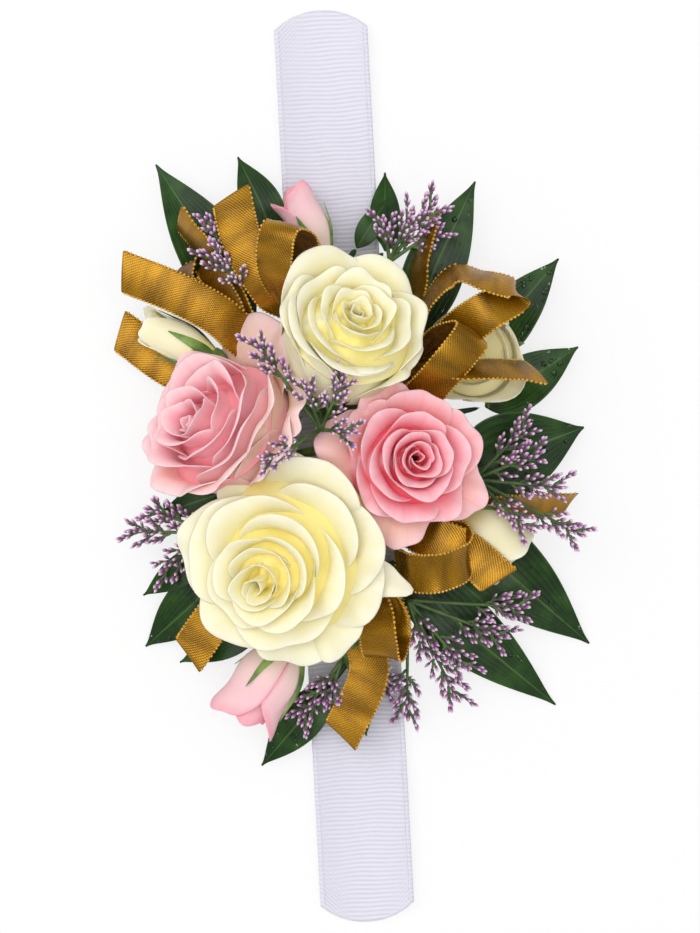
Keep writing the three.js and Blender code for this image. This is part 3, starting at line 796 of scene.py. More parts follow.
@dataclass(frozen=True)
class Stretch:
    """One length of the band, from the middle of a link to the middle of the next, and how it bends."""

    arm: str
    number: int
    side: int
    start: float
    end: float
    last: bool
    nodes: list[str]
    bodies: tuple[str, str]
    bend: list[Point]

    def piece(self, model: Model, kind: str, finish: Finish) -> None:
        """Makes a mesh the sleeve or the tape of this length.

        Args:
            model: the mesh.
            kind: what it is, as the solids' names say it.
            finish: its finish.
        """
        nodes = [f"{node}_{kind}" for node in self.nodes]
        made = model.piece(f"{self.arm}_{kind}_{self.number}", finish, nodes, body=None)
        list(self.bodies)
        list(self.bend)
        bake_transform(made)


@dataclass
class Band:
    """The slap band: a ribbed woven sleeve over a sprung steel tape, in lengths that meet at the hinges,
    where the band bends.
    """

    length: float = 230.0
    width: float = 24.0
    dish: float = 32.0
    end_radius: float = 17.0
    end_fade: float = 0.8
    centre: float = 34.0
    links: int = 4
    thickness: float = 1.4
    tape: float = 0.2
    tape_margin: float = 2.0
    pitch: float = 1.1
    rib: float = 0.17
    rib_sway: float = 0.12
    rows_per_rib: int = 6
    columns: int = 22
    stitch: Point = (0.16, 0.42, 0.1)
    stitch_inset: float = 0.9
    stitch_rise: float = 0.02
    stitch_shade: float = 0.35
    roundness: float = 0.2
    tongue: float = 3.2
    tongue_lap: float = 1.0
    tongue_inset: float = 0.2
    tongue_rows: int = 6
    upper_curl: tuple[float, ...] = (1.0, 1.1, 1.1, 0.8)
    lower_curl: tuple[float, ...] = (1.0, 1.1, 1.1, 0.5)

    def link(self) -> float:
        """The length of one link."""
        return (self.length - self.centre) / 2 / self.links

    def on_rib(self, y: float) -> float:
        """The nearest place along an arm where a rib starts."""
        return round(y / self.pitch) * self.pitch

    def bend_zone(self, curl: Sequence[float], i: int) -> tuple[float, float]:
        """Where a hinge's bend starts and ends, so that its length and the next meet in one round curve.

        Args:
            curl: how far each hinge of the arm turns, as shares of the first.
            i: the hinge's number from 0.

        Returns:
            Both places along the arm, measured from the hinge.
        """
        half = self.link() / 2
        after = curl[min(i + 1, self.links - 1)]
        end = unsmooth(1 - self.roundness * (curl[i] + after) / (2 * curl[i]))
        if i == 0:
            before, start = self.centre / 2, 0.0
        else:
            before, start = half, unsmooth(self.roundness * (curl[i] + curl[i - 1]) / (2 * curl[i]))
        length = (half + before) / (end - start)
        return -before - start * length, -before + (1 - start) * length

    def tip(self, x: float, inset: float) -> float:
        """How far the rounded end reaches at x."""
        radius = self.end_radius - inset
        return self.length / 2 - self.end_radius + math.sqrt(max(radius**2 - x**2, 0.0))

    def surface(self, x: float, y: float, depth: float) -> Vector:
        """A point of the dished section.

        Args:
            x: its place across the band.
            y: its place along the band.
            depth: its height above the underside.

        Returns:
            The point.
        """
        angle = math.asin(x / self.dish)
        radius = self.dish - depth
        return Vector((radius * math.sin(angle), y, self.dish - radius * math.cos(angle)))

    def section(self, half: float, thick: float) -> list[tuple[float, float]]:
        """A flat section with round edges.

        Args:
            half: half its width.
            thick: half its thickness.

        Returns:
            Points round it, as place across and height from its middle.
        """
        across = [lerp(-1, 1, i / self.columns) * (half - thick) for i in range(self.columns + 1)]
        turns = [math.radians(a) for a in (45, 0, -45)]
        right = [(half - thick + thick * math.cos(a), thick * math.sin(a)) for a in turns]
        left = [(-x, -n) for x, n in right]
        return [*((x, thick) for x in across), *right, *((x, -thick) for x in reversed(across)), *left]

    def sheet(self, model: Model, side: int, span: tuple[float, float], half: float, thick: float, rows: int,
              rib: float = 0.0, closed: float | None = None) -> None:
        """Adds one closed length of sleeve, tongue or tape.

        Args:
            model: the mesh that it joins.
            side: 1 on the upper arm, -1 on the lower.
            span: where it starts and ends along the arm.
            half: half its width.
            thick: half its thickness.
            rows: faces along it.
            rib: how deep it is between its ribs.
            closed: how far it stays inside the band's rounded end, or None if it is cut straight.
        """
        ring = self.section(half, thick)
        start, end = span

        def rule(u: float, v: float) -> tuple[Vector, float]:
            """A point of the length, and how high on a rib it is.

            Args:
                u: its place round, from -1 to 1.
                v: its place along, from 0 to 1.

            Returns:
                The point and that height.
            """
            x, n = ring[round((u + 1) / 2 * len(ring)) % len(ring)]
            far = end if closed is None else self.tip(x, closed)
            y = lerp(start, far, v)
            worn = 0.0 if closed is None else smoothstep(y, far - self.end_fade, far)
            sway = self.rib_sway * math.sin(0.5 * x + 0.21 * y)
            crest = abs(math.sin(math.pi * (y + sway) / self.pitch)) ** 0.7
            lift = rib * (crest - 1) * (1 if n > 0 else -1) * min(1.0, abs(n) / thick) ** 2
            fade = math.sqrt(max(0.0, 1 - worn**2))
            return self.surface(x, side * y, self.thickness / 2 + (n + lift) * fade), crest

        for vert in model.grid(len(ring), rows, lambda u, v: Vector((u, v, 0))):
            vert.co, crest = rule(vert.co.x, vert.co.y)
            # the depth between the ribs is kept as the painted valley shade of the sleeve's colour
            if "valley" in model.numbers:
                vert[model.numbers["valley"]] = 1 - crest
        model.closed = True

    def stitches(self, model: Model, stretch: Stretch) -> None:
        """Adds the sewn line inside each edge.

        Args:
            model: the sleeve's mesh.
            stretch: the length of the band that it is on.
        """
        for i in range(int((stretch.end - stretch.start) / self.pitch)):
            y = stretch.start + (i + 0.5) * self.pitch
            for edge in (-1, 1):
                x = edge * (self.width / 2 - self.stitch_inset)
                if y > self.tip(x, self.stitch_inset):
                    continue
                centre = self.surface(x, stretch.side * y, self.thickness + self.stitch_rise)
                # the stitches take part of the painted valley shade
                model.ball(centre, self.stitch, Matrix.Identity(3), valley=self.stitch_shade)

    def stretches(self) -> list[Stretch]:
        """The lengths of each arm, from the middle outwards.

        Returns:
            Those of the upper arm, then the lower arm's.
        """
        made = []
        for arm, side, curl in (("upper", 1, self.upper_curl), ("lower", -1, self.lower_curl)):
            for i in range(self.links):
                hinge = self.centre / 2 + i * self.link()
                last = i == self.links - 1
                start = self.on_rib(hinge - self.link() / 2) if i else 0.0
                end = self.length / 2 if last else self.on_rib(hinge + self.link() / 2)
                nodes = [f"{arm}_link_{i + 1}"] + (["centre"] if side > 0 and i == 0 else [])
                bodies = (f"{arm}_link_{i}" if i else ROOT, f"{arm}_link_{i + 1}")
                bend = [(0, side * (hinge + k) * MM, 0) for k in self.bend_zone(curl, i)]
                made.append(Stretch(arm, i + 1, side, start, end, last, nodes, bodies, bend))
        return made

    def build(self) -> None:
        """Makes the sleeve and the tape in their lengths."""
        for stretch in self.stretches():
            self.sleeve(stretch)
            self.steel(stretch)

    def sleeve(self, stretch: Stretch) -> None:
        """Makes one length of the woven sleeve, with a tongue into the next.

        Args:
            stretch: the length of the band.
        """
        model = Model("valley")
        half, thick = self.width / 2, self.thickness / 2
        rows = round((stretch.end - stretch.start) / self.pitch * self.rows_per_rib)
        self.sheet(model, stretch.side, (stretch.start, stretch.end), half, thick, rows, self.rib,
                   0.0 if stretch.last else None)
        self.stitches(model, stretch)
        if not stretch.last:
            span = (stretch.end - self.tongue_lap, stretch.end + self.tongue)
            self.sheet(model, stretch.side, span, half - self.tongue_inset, thick - self.tongue_inset,
                       self.tongue_rows)
        stretch.piece(model, "sleeve", GROSGRAIN)

    def steel(self, stretch: Stretch) -> None:
        """Makes one length of the steel tape.

        Args:
            stretch: the length of the band.
        """
        model = Model()
        self.sheet(model, stretch.side, (stretch.start, stretch.end), self.width / 2 - self.tape_margin,
                   self.tape / 2, round(stretch.end - stretch.start),
                   closed=self.tape_margin if stretch.last else None)
        stretch.piece(model, "tape", STEEL)


@dataclass
class Spine:
    """The bound stems under the flowers and the glue that fixes them to the band."""

    length: float = 104.0
    radius: float = 6.0
    height: float = 8.9
    wrap: float = 7.0
    ridge: float = 0.35
    wrap_grid: tuple[int, int] = (28, 150)
    glue_grid: tuple[int, int] = (40, 16)
    glue_seed: int = 5
    glue_lumps: int = 5
    glue_dip: float = 0.8

    def point(self, y: float, rise: float) -> Vector:
        """A point inside the spine, raised by a share of its radius."""
        return Vector((0, y, self.height + rise * self.radius))

    def build(self) -> None:
        """Makes the wrapped spine and the pad of glue."""
        model = Model()
        half = self.length / 2

        def spindle(u: float, v: float) -> Vector:
            """A point of the wrap, which laps over itself turn by turn.

            Args:
                u: its place round, from -1 to 1.
                v: its place along, from 0 to 1.

            Returns:
                The point.
            """
            t = 2 * v - 1
            turn = u * math.pi
            lap = ((half * t / self.wrap + u / 2) % 1.0) * self.ridge
            radius = (self.radius - lap) * math.sqrt(max(0.0, 1 - abs(t) ** 3))
            return Vector((radius * math.cos(turn), half * t, self.height + radius * math.sin(turn)))

        model.closed = True
        model.grid(*self.wrap_grid, spindle)
        model.piece("stem_spine_wrap", WRAP, ["stem_spine"])
        self.glue()

    def glue(self) -> None:
        """Makes the pad of set glue between the spine and the band."""
        model = Model()
        rng = random.Random(self.glue_seed)
        lumps = [(rng.uniform(0, math.tau), rng.uniform(3, 7)) for _ in range(self.glue_lumps)]
        low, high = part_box("glue_pad")
        centre = (low + high) / 2 / MM
        half = (high - low) / 2 / MM

        def blob(u: float, v: float) -> Vector:
            """A point of the glue, which follows the band's dish.

            Args:
                u: its place round, from -1 to 1.
                v: its place from the underside to the top, from 0 to 1.

            Returns:
                The point.
            """
            turn, polar = u * math.pi, (v - 0.5) * math.pi
            swell = 1 + 0.03 * sum(math.sin(k * turn + p) for p, k in lumps)
            ring = abs(math.cos(polar)) ** 0.5 * swell
            x = half.x * ring * math.copysign(abs(math.cos(turn)) ** 0.6, math.cos(turn))
            y = half.y * ring * math.copysign(abs(math.sin(turn)) ** 0.6, math.sin(turn))
            dip = (x / half.x) ** 2 * self.glue_dip - 0.5
            z = half.z * 0.8 * math.copysign(abs(math.sin(polar)) ** 0.6, math.sin(polar)) + dip
            return centre + Vector((x, y, z))

        model.closed = True
        model.grid(*self.glue_grid, blob)
        model.piece("glue_pad_blob", GLUE, ["glue_pad"], levels=1)


SPINE = Spine()


def bend(start: Point, leave: Point, end: Point, arrive: Point, steps: int) -> np.ndarray:
    """A curve between two points.

    Args:
        start: where it starts.
        leave: the direction and strength with which it leaves.
        end: where it ends.
        arrive: the direction and strength with which it arrives.
        steps: how many parts it has.

    Returns:
        Its points, one a row.
    """
    t = np.linspace(0, 1, steps + 1)[:, None]
    return ((2 * t**3 - 3 * t**2 + 1) * np.array(start) + (t**3 - 2 * t**2 + t) * np.array(leave)
            + (3 * t**2 - 2 * t**3) * np.array(end) + (t**3 - t**2) * np.array(arrive))


@dataclass(frozen=True)
class Petal:
    """One petal on its bloom's axis: a foot, a wall that hugs the bloom, and a flare to its rim."""

    turn: float
    layer: float
    half_angle: float
    wall_radius: float
    rim_radius: float
    rim_height: float
    rim_angle: float
    side_roll: float = 1.5
    wave: float = 0.5
    phase: float = 0.0
    lap: float = 0.5
    guard: float = 0.0
    peak: float = 0.0
    ragged: float = 0.0
    shift: tuple[float, float] = (0.0, 0.0)
    foot_radius: float = 1.0
    foot_pull: float = 1.5
    rim_pull: float = 1.3
    inner_wall: float = 0.62
    outer_wall: float = 0.4
    inner_round: float = 0.1
    outer_round: float = 0.34
    peak_half: float = 0.6
    columns: int = 18
    rows: int = 16
    steps: int = 20

    def meridian(self) -> np.ndarray:
        """The petal's middle line.

        Returns:
            Share of the length, radius and height from its foot to its rim.
        """
        top = self.rim_height * lerp(self.inner_wall, self.outer_wall, self.layer)
        rim = (self.rim_radius, self.rim_height)
        angle = math.radians(self.rim_angle)
        span = math.hypot(self.rim_radius - self.wall_radius, self.rim_height - top)
        pull = self.rim_pull * span
        wall = bend((self.foot_radius, 0), (self.foot_pull * self.wall_radius, 0), (self.wall_radius, top),
                    (0, top), self.steps)
        flare = bend((self.wall_radius, top), (0, span), rim,
                     (pull * math.sin(angle), pull * math.cos(angle)), self.steps)
        line = np.concatenate([wall, flare[1:]])
        length = np.insert(np.cumsum(np.linalg.norm(np.diff(line, axis=0), axis=1)), 0, 0.0)
        return np.stack([length / length[-1], line[:, 0], line[:, 1]])

    def rim(self, u: float) -> float:
        """How long the petal is at a place across it.

        Args:
            u: the place, from -1 to 1.

        Returns:
            The share of its full length.
        """
        round_off = lerp(self.inner_round, self.outer_round, self.layer) * abs(u) ** 2.6
        peak = self.peak * (max(0.0, 1 - abs(u) / self.peak_half) ** 1.5 - 1)
        tooth = self.ragged * (math.sin(17 * u + self.phase) + 0.6 * math.sin(31 * u + 2 * self.phase))
        return 1 - round_off + peak + tooth

    def add(self, model: Model) -> None:
        """Adds the petal to a bloom's mesh.

        Args:
            model: the mesh that it joins.
        """
        shares, radii, heights = self.meridian()

        def rule(u: float, v: float) -> Vector:
            """A point of the petal.

            Args:
                u: its place across, from -1 to 1.
                v: its place from foot to rim, from 0 to 1.

            Returns:
                The point.
            """
            s = v * self.rim(u)
            free = smoothstep(s, 0.5, 1)
            ruffle = 0.4 * math.sin(3.9 * math.pi * u - self.phase)
            ripple = self.wave * free * (math.sin(2.3 * math.pi * u + self.phase) + ruffle)
            roll = self.side_roll * free * abs(u) ** 1.8
            radius = float(np.interp(s, shares, radii)) + self.lap * u + roll + 0.4 * ripple
            height = float(np.interp(s, shares, heights)) - 0.6 * roll + ripple
            width = lerp(0.6, 1.0, smoothstep(s, 0, 0.5))
            turn = math.radians(self.turn + u * self.half_angle * width)
            rise = smoothstep(height / self.rim_height, 0.1, 1)
            return Vector((radius * math.cos(turn) + self.shift[0] * rise,
                           radius * math.sin(turn) + self.shift[1] * rise, height))

        model.grid(self.columns, self.rows, rule, layer=self.layer, guard=self.guard)


@dataclass(frozen=True)
class PetalShape:
    """How a petal differs from its neighbours: where it points, its reach and how far it hangs."""

    turn: float
    reach: float = 1.0
    drop: float = 0.0
    guard: float = 0.2
    half_angle: float = 56.0
    ragged: float = 0.0
    peak: float = 0.0


@dataclass
class Rose:
    """A bloom with its hip, its sepals and its stem."""

    name: str
    finish: PetalFinish
    hip: Point
    at: float
    lean: float
    heading: float
    radius: float
    height: float
    cup: float
    flare: float
    outer: list[PetalShape]
    seed: int
    sink: float = 0.35
    inner: int = 16
    peak: float = 0.0
    side_roll: float = 1.5
    eye: tuple[float, float] = (0.0, 0.0)
    slide: float = 0.0
    turn_jitter: float = 12.0
    inner_half: float = 128.0
    outer_half: float = 60.0
    inner_reach: float = 0.92
    curl: float = 12.0
    core_reach: float = 0.85
    core_depth: float = 5.0
    core_grid: tuple[int, int] = (36, 14)
    hip_radius: float = 4.2
    hip_length: float = 6.0
    sepal_count: int = 5
    sepal_length: float = 11.0
    sepal_width: float = 4.6

    def axis(self) -> Vector:
        """The direction that the bloom faces."""
        tilt, turn = math.radians(self.lean), math.radians(self.heading)
        return Vector((math.sin(tilt) * math.cos(turn), math.sin(tilt) * math.sin(turn), math.cos(tilt)))

    def brim(self, layer: float) -> tuple[float, float]:
        """Radius and height of the rims, from the heart at layer 0 to the outermost petals at layer 1."""
        top = lerp(0.92, 1.0, smoothstep(layer, 0, 0.3)) - self.sink * layer**2.2
        return self.radius * lerp(0.05, 1.0, layer**1.2), self.height * top

    def petal(self, rng: random.Random, layer: float, shape: PetalShape) -> Petal:
        """One petal of the bloom.

        Args:
            rng: draws what differs from petal to petal.
            layer: its place, from the heart at 0 to the outermost at 1.
            shape: where it points, its reach and how far it hangs.

        Returns:
            The petal.
        """
        rim, top = self.brim(layer)
        share = 1 - layer
        return Petal(
            turn=shape.turn, layer=layer, half_angle=shape.half_angle,
            wall_radius=self.radius * self.cup * lerp(0.1, 1.0, layer) * rng.uniform(0.97, 1.03),
            rim_radius=rim * shape.reach,
            rim_height=top * rng.uniform(0.95, 1.05) - self.height * shape.drop / 100,
            rim_angle=lerp(-self.curl, self.flare + self.curl, layer**0.6) + shape.drop + rng.uniform(-7, 7),
            side_roll=self.side_roll * layer * rng.uniform(0.5, 1.5), wave=lerp(0.2, 1.3, layer),
            phase=rng.uniform(0, math.tau), lap=lerp(0.7, 0.5, layer), guard=shape.guard,
            peak=self.peak * layer + shape.peak, ragged=shape.ragged,
            shift=(self.eye[0] * share, self.eye[1] * share))

    def petals(self) -> list[Petal]:
        """The petals from the heart outwards.

        Returns:
            The inner ones in even turns, and then those of the table.
        """
        rng = random.Random(self.seed)
        made = []
        for i in range(self.inner):
            layer = ((i + 0.3) / self.inner) ** 0.9 * self.inner_reach
            turn = i * GOLDEN_TURN + rng.uniform(-self.turn_jitter, self.turn_jitter)
            half_angle = lerp(self.inner_half, self.outer_half, layer**0.6) * rng.uniform(0.9, 1.1)
            made.append(self.petal(rng, layer, PetalShape(turn, guard=0.0, half_angle=half_angle)))
        for shape in self.outer:
            made.append(self.petal(rng, rng.uniform(0.96, 1.0), shape))
        return made

    def core(self, model: Model) -> None:
        """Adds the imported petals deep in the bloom, as one lumpy cup below the rims.

        Args:
            model: the bloom's mesh.
        """
        def rule(u: float, v: float) -> Vector:
            """A point of the cup.

            Args:
                u: its place round, from -1 to 1.
                v: its place from the middle outwards, from 0 to 1.

            Returns:
                The point.
            """
            layer = self.core_reach * v
            radius, top = self.brim(layer)
            turn = u * math.pi * SEAM_LAP
            lump = 0.7 * math.sin(5 * turn + 9 * layer) + 0.5 * math.sin(3 * turn - 14 * layer)
            height = top - lerp(self.core_depth, 2.2 * self.core_depth, layer) + lump
            share = 1 - layer
            return Vector((radius * math.cos(turn) + self.eye[0] * share,
                           radius * math.sin(turn) + self.eye[1] * share, height))

        model.grid(*self.core_grid, rule, (1, 0.3), layer=0.5, guard=0.0)

    def tilt(self) -> Matrix:
        """The bloom's turn, where a slide that only carries its top sideways takes part of its lean.

        Returns:
            The turn and the slide as one matrix.
        """
        axis = self.axis()
        level = Vector((0, 0, 1)).lerp(axis, 1 - self.slide).normalized()
        turn = turn_to(level)
        push = axis - level
        return Matrix(((1, 0, push.x), (0, 1, push.y), (0, 0, 1))) @ turn

    def build(self) -> None:
        """Makes the bloom and what carries it."""
        model = Model("layer", "guard")
        for petal in self.petals():
            petal.add(model)
        self.core(model)
        model.place(self.tilt(), Vector(self.hip))
        model.piece(f"{self.name}_petals", self.finish, [self.name], wall=PETAL_WALL, levels=1)
        self.calyx()

    def calyx(self) -> None:
        """Makes the hip, the sepals that turn down and the stem."""
        axis = self.axis()
        hip = Vector(self.hip)
        foot = hip - axis * self.hip_length * 0.8
        model = Model()
        head = Route([foot, hip - axis * 0.3])
        model.tube(head, lambda v: self.hip_radius * math.sin(math.pi * lerp(0.12, 0.62, v)), 14, 10)
        stem_to(model, foot, self.at)
        turn = turn_to(axis)
        for i in range(self.sepal_count):
            sepal(model, math.tau * i / self.sepal_count - math.pi / 2, [
                (self.hip_radius * 0.6, -1.8), (self.hip_radius + self.sepal_length * 0.35, -2.4),
                (self.hip_radius + self.sepal_length * 0.75, -5)], self.sepal_width, turn, hip)
        model.piece(f"{self.name}_hip", SEPAL, [f"{self.name}_calyx"], levels=1)


def stem_to(model: Model, point: Vector, at: float, radius: float = 1.3) -> None:
    """Adds a stem from a flower back into the spine.

    Args:
        model: the mesh that it joins.
        point: where it leaves the flower.
        at: where it enters the spine, along the band.
        radius: its radius.
    """
    root = SPINE.point(at, 0.3)
    middle = point.lerp(root, 0.5)
    middle.z = lerp(point.z, root.z, 0.4)
    model.tube(Route([root, middle, point]), lambda v: radius, 8, 10)


def sepal(model: Model, turn: float, line: Sequence[tuple[float, float]], width: float, tilt: Matrix,
          base: Vector, wall: float = 0.5) -> None:
    """Adds a pointed sepal as a thin closed blade.

    Args:
        model: the mesh that it joins.
        turn: its place round the hip.
        line: reach and height of its middle line.
        width: its width at the hip.
        tilt: the flower's turn.
        base: the flower's seat.
        wall: its thickness.
    """
    out = Vector((math.cos(turn), math.sin(turn), 0))
    across = Vector((-out.y, out.x, 0))
    route = Route([out * reach + Vector((0, 0, height)) for reach, height in line])

    def rule(u: float, v: float) -> Vector:
        """A point of the blade.

        Args:
            u: its place round, from -1 to 1.
            v: its place along, from 0 to 1.

        Returns:
            The point.
        """
        ring = u * math.pi
        along = route.heading(v)
        normal = across.cross(along)
        half = width / 2 * (1 - v**1.6) * lerp(0.75, 1.0, smoothstep(v, 0, 0.3))
        thick = wall / 2 * (1 - 0.6 * v)
        fold = 0.25 * half * abs(math.cos(ring))
        point = route.at(v) + across * (half * math.cos(ring)) + normal * (thick * math.sin(ring) - fold)
        return tilt @ point + base

    model.closed = True
    model.grid(10, 9, rule)


@dataclass
class Bud:
    """A half-open bud: wrapped petals, sepals that hug them, a hip and a stem."""

    name: str
    finish: PetalFinish
    base: Point
    tip: Point
    at: float
    radius: float
    seed: int
    petals: int = 7
    open: float = 1.0
    inner_half: float = 120.0
    outer_half: float = 66.0
    flare: float = 2.2
    hip_radius: float = 2.9
    hip_length: float = 4.0
    hip_rise: float = 0.8
    sepals: int = 4
    sepal_width: float = 3.6
    sepal_reach: tuple[float, float] = (0.55, 0.85)
    sepal_spread: tuple[float, float] = (0.6, 2.2)
    heart_grid: tuple[int, int] = (24, 8)
    petal_grid: tuple[int, int] = (10, 11)

    def girth(self, s: float) -> float:
        """The bud's radius at share s of its height."""
        return lerp(self.hip_radius * 0.8, self.radius, math.sin(math.pi / 2 * min(1.0, s / 0.45)) ** 1.2) * (
            1 - 0.2 * smoothstep(s, 0.5, 0.85))

    def build(self) -> None:
        """Makes the bud."""
        rng = random.Random(self.seed)
        axis = Vector(self.tip) - Vector(self.base)
        height = axis.length
        axis.normalize()
        turn = turn_to(axis)
        model = Model("layer", "guard")
        for i in range(self.petals):
            self.wrap(model, i, height, rng)
        self.heart(model, height)
        model.place(turn, Vector(self.base))
        model.piece(f"{self.name}_petals", self.finish, [self.name], wall=PETAL_WALL, levels=1)
        green = Model()
        foot = Vector(self.base) - axis * self.hip_length
        green.tube(Route([foot, Vector(self.base) + axis * self.hip_rise]),
                   lambda v: self.hip_radius * math.sin(math.pi * lerp(0.15, 0.6, v)), 12, 9)
        stem_to(green, foot + axis, self.at)
        for i in range(self.sepals):
            reach = rng.uniform(*self.sepal_reach)
            line = [(self.hip_radius * 0.8, 0), (self.girth(0.3) + 0.4, height * 0.3),
                    (self.girth(reach * 0.8) + rng.uniform(*self.sepal_spread), height * reach)]
            sepal(green, math.tau * (i + rng.uniform(-0.2, 0.2)) / self.sepals, line, self.sepal_width, turn,
                  Vector(self.base))
        green.piece(f"{self.name}_hip", SEPAL, [self.name], levels=1)

    def heart(self, model: Model, height: float) -> None:
        """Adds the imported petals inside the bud, as one low dome.

        Args:
            model: the bud's mesh.
            height: the bud's height.
        """
        def rule(u: float, v: float) -> Vector:
            """A point of the dome.

            Args:
                u: its place round, from -1 to 1.
                v: its place from the middle outwards, from 0 to 1.

            Returns:
                The point.
            """
            turn = u * math.pi * SEAM_LAP
            radius = 0.8 * self.radius * v
            rise = 0.78 - 0.3 * v * v + 0.03 * math.sin(3 * turn + 5 * v)
            return Vector((radius * math.cos(turn), radius * math.sin(turn), height * rise))

        model.grid(*self.heart_grid, rule, (1, 0.6), layer=0.5, guard=0.0)

    def wrap(self, model: Model, i: int, height: float, rng: random.Random) -> None:
        """Adds one petal, wrapped round those inside it.

        Args:
            model: the bud's mesh.
            i: the petal's number from the inside.
            height: the bud's height.
            rng: draws what differs from petal to petal.
        """
        depth = i / (self.petals - 1)
        around = math.radians(i * GOLDEN_TURN)
        half = math.radians(lerp(self.inner_half, self.outer_half, depth))
        tall = height * lerp(0.86, 1.0, depth) * rng.uniform(0.93, 1.02)
        flare = self.open * lerp(0.0, self.flare, depth) * rng.uniform(0.4, 1.4)
        ripple = rng.uniform(0, math.tau)

        def rule(u: float, v: float) -> Vector:
            """A point of the petal.

            Args:
                u: its place across, from -1 to 1.
                v: its place from foot to rim, from 0 to 1.

            Returns:
                The point.
            """
            s = v * (1 - 0.3 * abs(u) ** 2.2 + 0.03 * self.open * math.sin(7 * u + ripple))
            radius = self.girth(s) * lerp(0.3, 1.0, depth**0.7) + 0.35 * u
            radius += flare * smoothstep(s, 0.6, 1) * (1 + 0.45 * math.sin(3 * u + ripple))
            turn = around + u * half
            return Vector((radius * math.cos(turn), radius * math.sin(turn), s * tall))

        model.grid(*self.petal_grid, rule, layer=lerp(0.1, 0.9, depth), guard=0.0)


@dataclass
class Leaf:
    """A pointed leaf on its stalk, with water drops where it was sprayed."""

    name: str
    at: float
    base: Point
    tip: Point
    width: float
    second: tuple[Point, Point, float] | None = None
    drops: int = 0
    seed: int = 1
    arch: float = 1.0
    fold: float = 0.2
    rise: float = -0.35
    widest: float = 0.4
    narrowest: float = 0.25
    half_wall: float = 0.28
    stalk: float = 0.8
    blade_grid: tuple[int, int] = (20, 24)
    smallest_drop: float = 0.28
    drop_spread: float = 0.6

    def build(self) -> None:
        """Makes the leaf, its stalk and its drops."""
        model = Model()
        water = Model()
        self.blade(model, water, self.base, self.tip, self.width, self.drops)
        if self.second:
            self.blade(model, water, *self.second, 0)
        model.piece(f"{self.name}_blade", LEAF, [self.name], levels=1)
        if self.drops:
            water.piece(f"{self.name}_drops", WATER)
        else:
            water.bm.free()

    def blade(self, model: Model, water: Model, base: Point, tip: Point, width: float, drops: int) -> None:
        """Adds one blade with its stalk and its drops.

        Args:
            model: the leaf's mesh.
            water: the mesh of its drops.
            base: where the blade starts.
            tip: its tip.
            width: its greatest width.
            drops: how many drops lie on it.
        """
        rng = random.Random(self.seed)
        root, start, end = SPINE.point(self.at, self.rise), Vector(base), Vector(tip)
        middle = start.lerp(end, 0.5)
        middle.z = lerp(start.z, end.z, 0.4) + self.arch
        route = Route([root, start, middle, end])
        share = (end - start).length / ((end - start).length + (start - root).length)
        side = Vector((end.y - start.y, start.x - end.x, 0)).normalized()
        twist, phase = rng.uniform(-0.12, 0.12), rng.uniform(0, math.tau)

        def surface(u: float, s: float) -> tuple[Vector, Vector]:
            """A point of the blade's middle sheet, and which way the sheet faces there.

            Args:
                u: its place across, from -1 to 1.
                s: its place along, from 0 to 1.

            Returns:
                The point and that direction.
            """
            t = lerp(1 - share, 1, s)
            along = route.heading(t)
            across = (side - along * side.dot(along)).normalized()
            normal = across.cross(along)
            half = width / 2 * (max(s, 0) / self.widest) ** 0.8
            half = max(self.narrowest, half * (max(1 - s, 0) / (1 - self.widest)) ** 1.2)
            lift = self.fold * abs(u) ** 1.4 * half + twist * u * half
            lift += 0.04 * half * math.sin(5 * s + phase) * u * u
            return route.at(t) + across * (u * half) + normal * lift, normal

        def rule(u: float, v: float) -> Vector:
            """A point of the blade's skin, round both its faces.

            Args:
                u: its place round, from -1 to 1.
                v: its place along, from 0 to 1.

            Returns:
                The point.
            """
            ring = u * math.pi
            point, normal = surface(math.cos(ring), v)
            return point + normal * (self.half_wall * math.sin(ring))

        made = model.grid(*self.blade_grid, rule)
        for face in {f for vert in made for f in vert.link_faces}:
            for loop in face.loops:
                turn = (loop[model.map].uv.x * 2 - 1) * math.pi
                loop[model.map].uv.x = (math.cos(turn) + 1) / 2
        stalk = Route([route.at(lerp(0, 1 - share, i / 6)) for i in range(7)])
        model.tube(stalk, lambda v: self.stalk, 8, 10)
        for _ in range(drops):
            s, u = rng.uniform(0.15, 0.92), rng.uniform(-0.8, 0.8)
            point, normal = surface(u, s)
            size = self.smallest_drop + self.drop_spread * rng.random() ** 3
            seat = point + normal * (self.half_wall + size * 0.15)
            water.ball(seat, (size, size, size * 0.55), turn_to(normal))


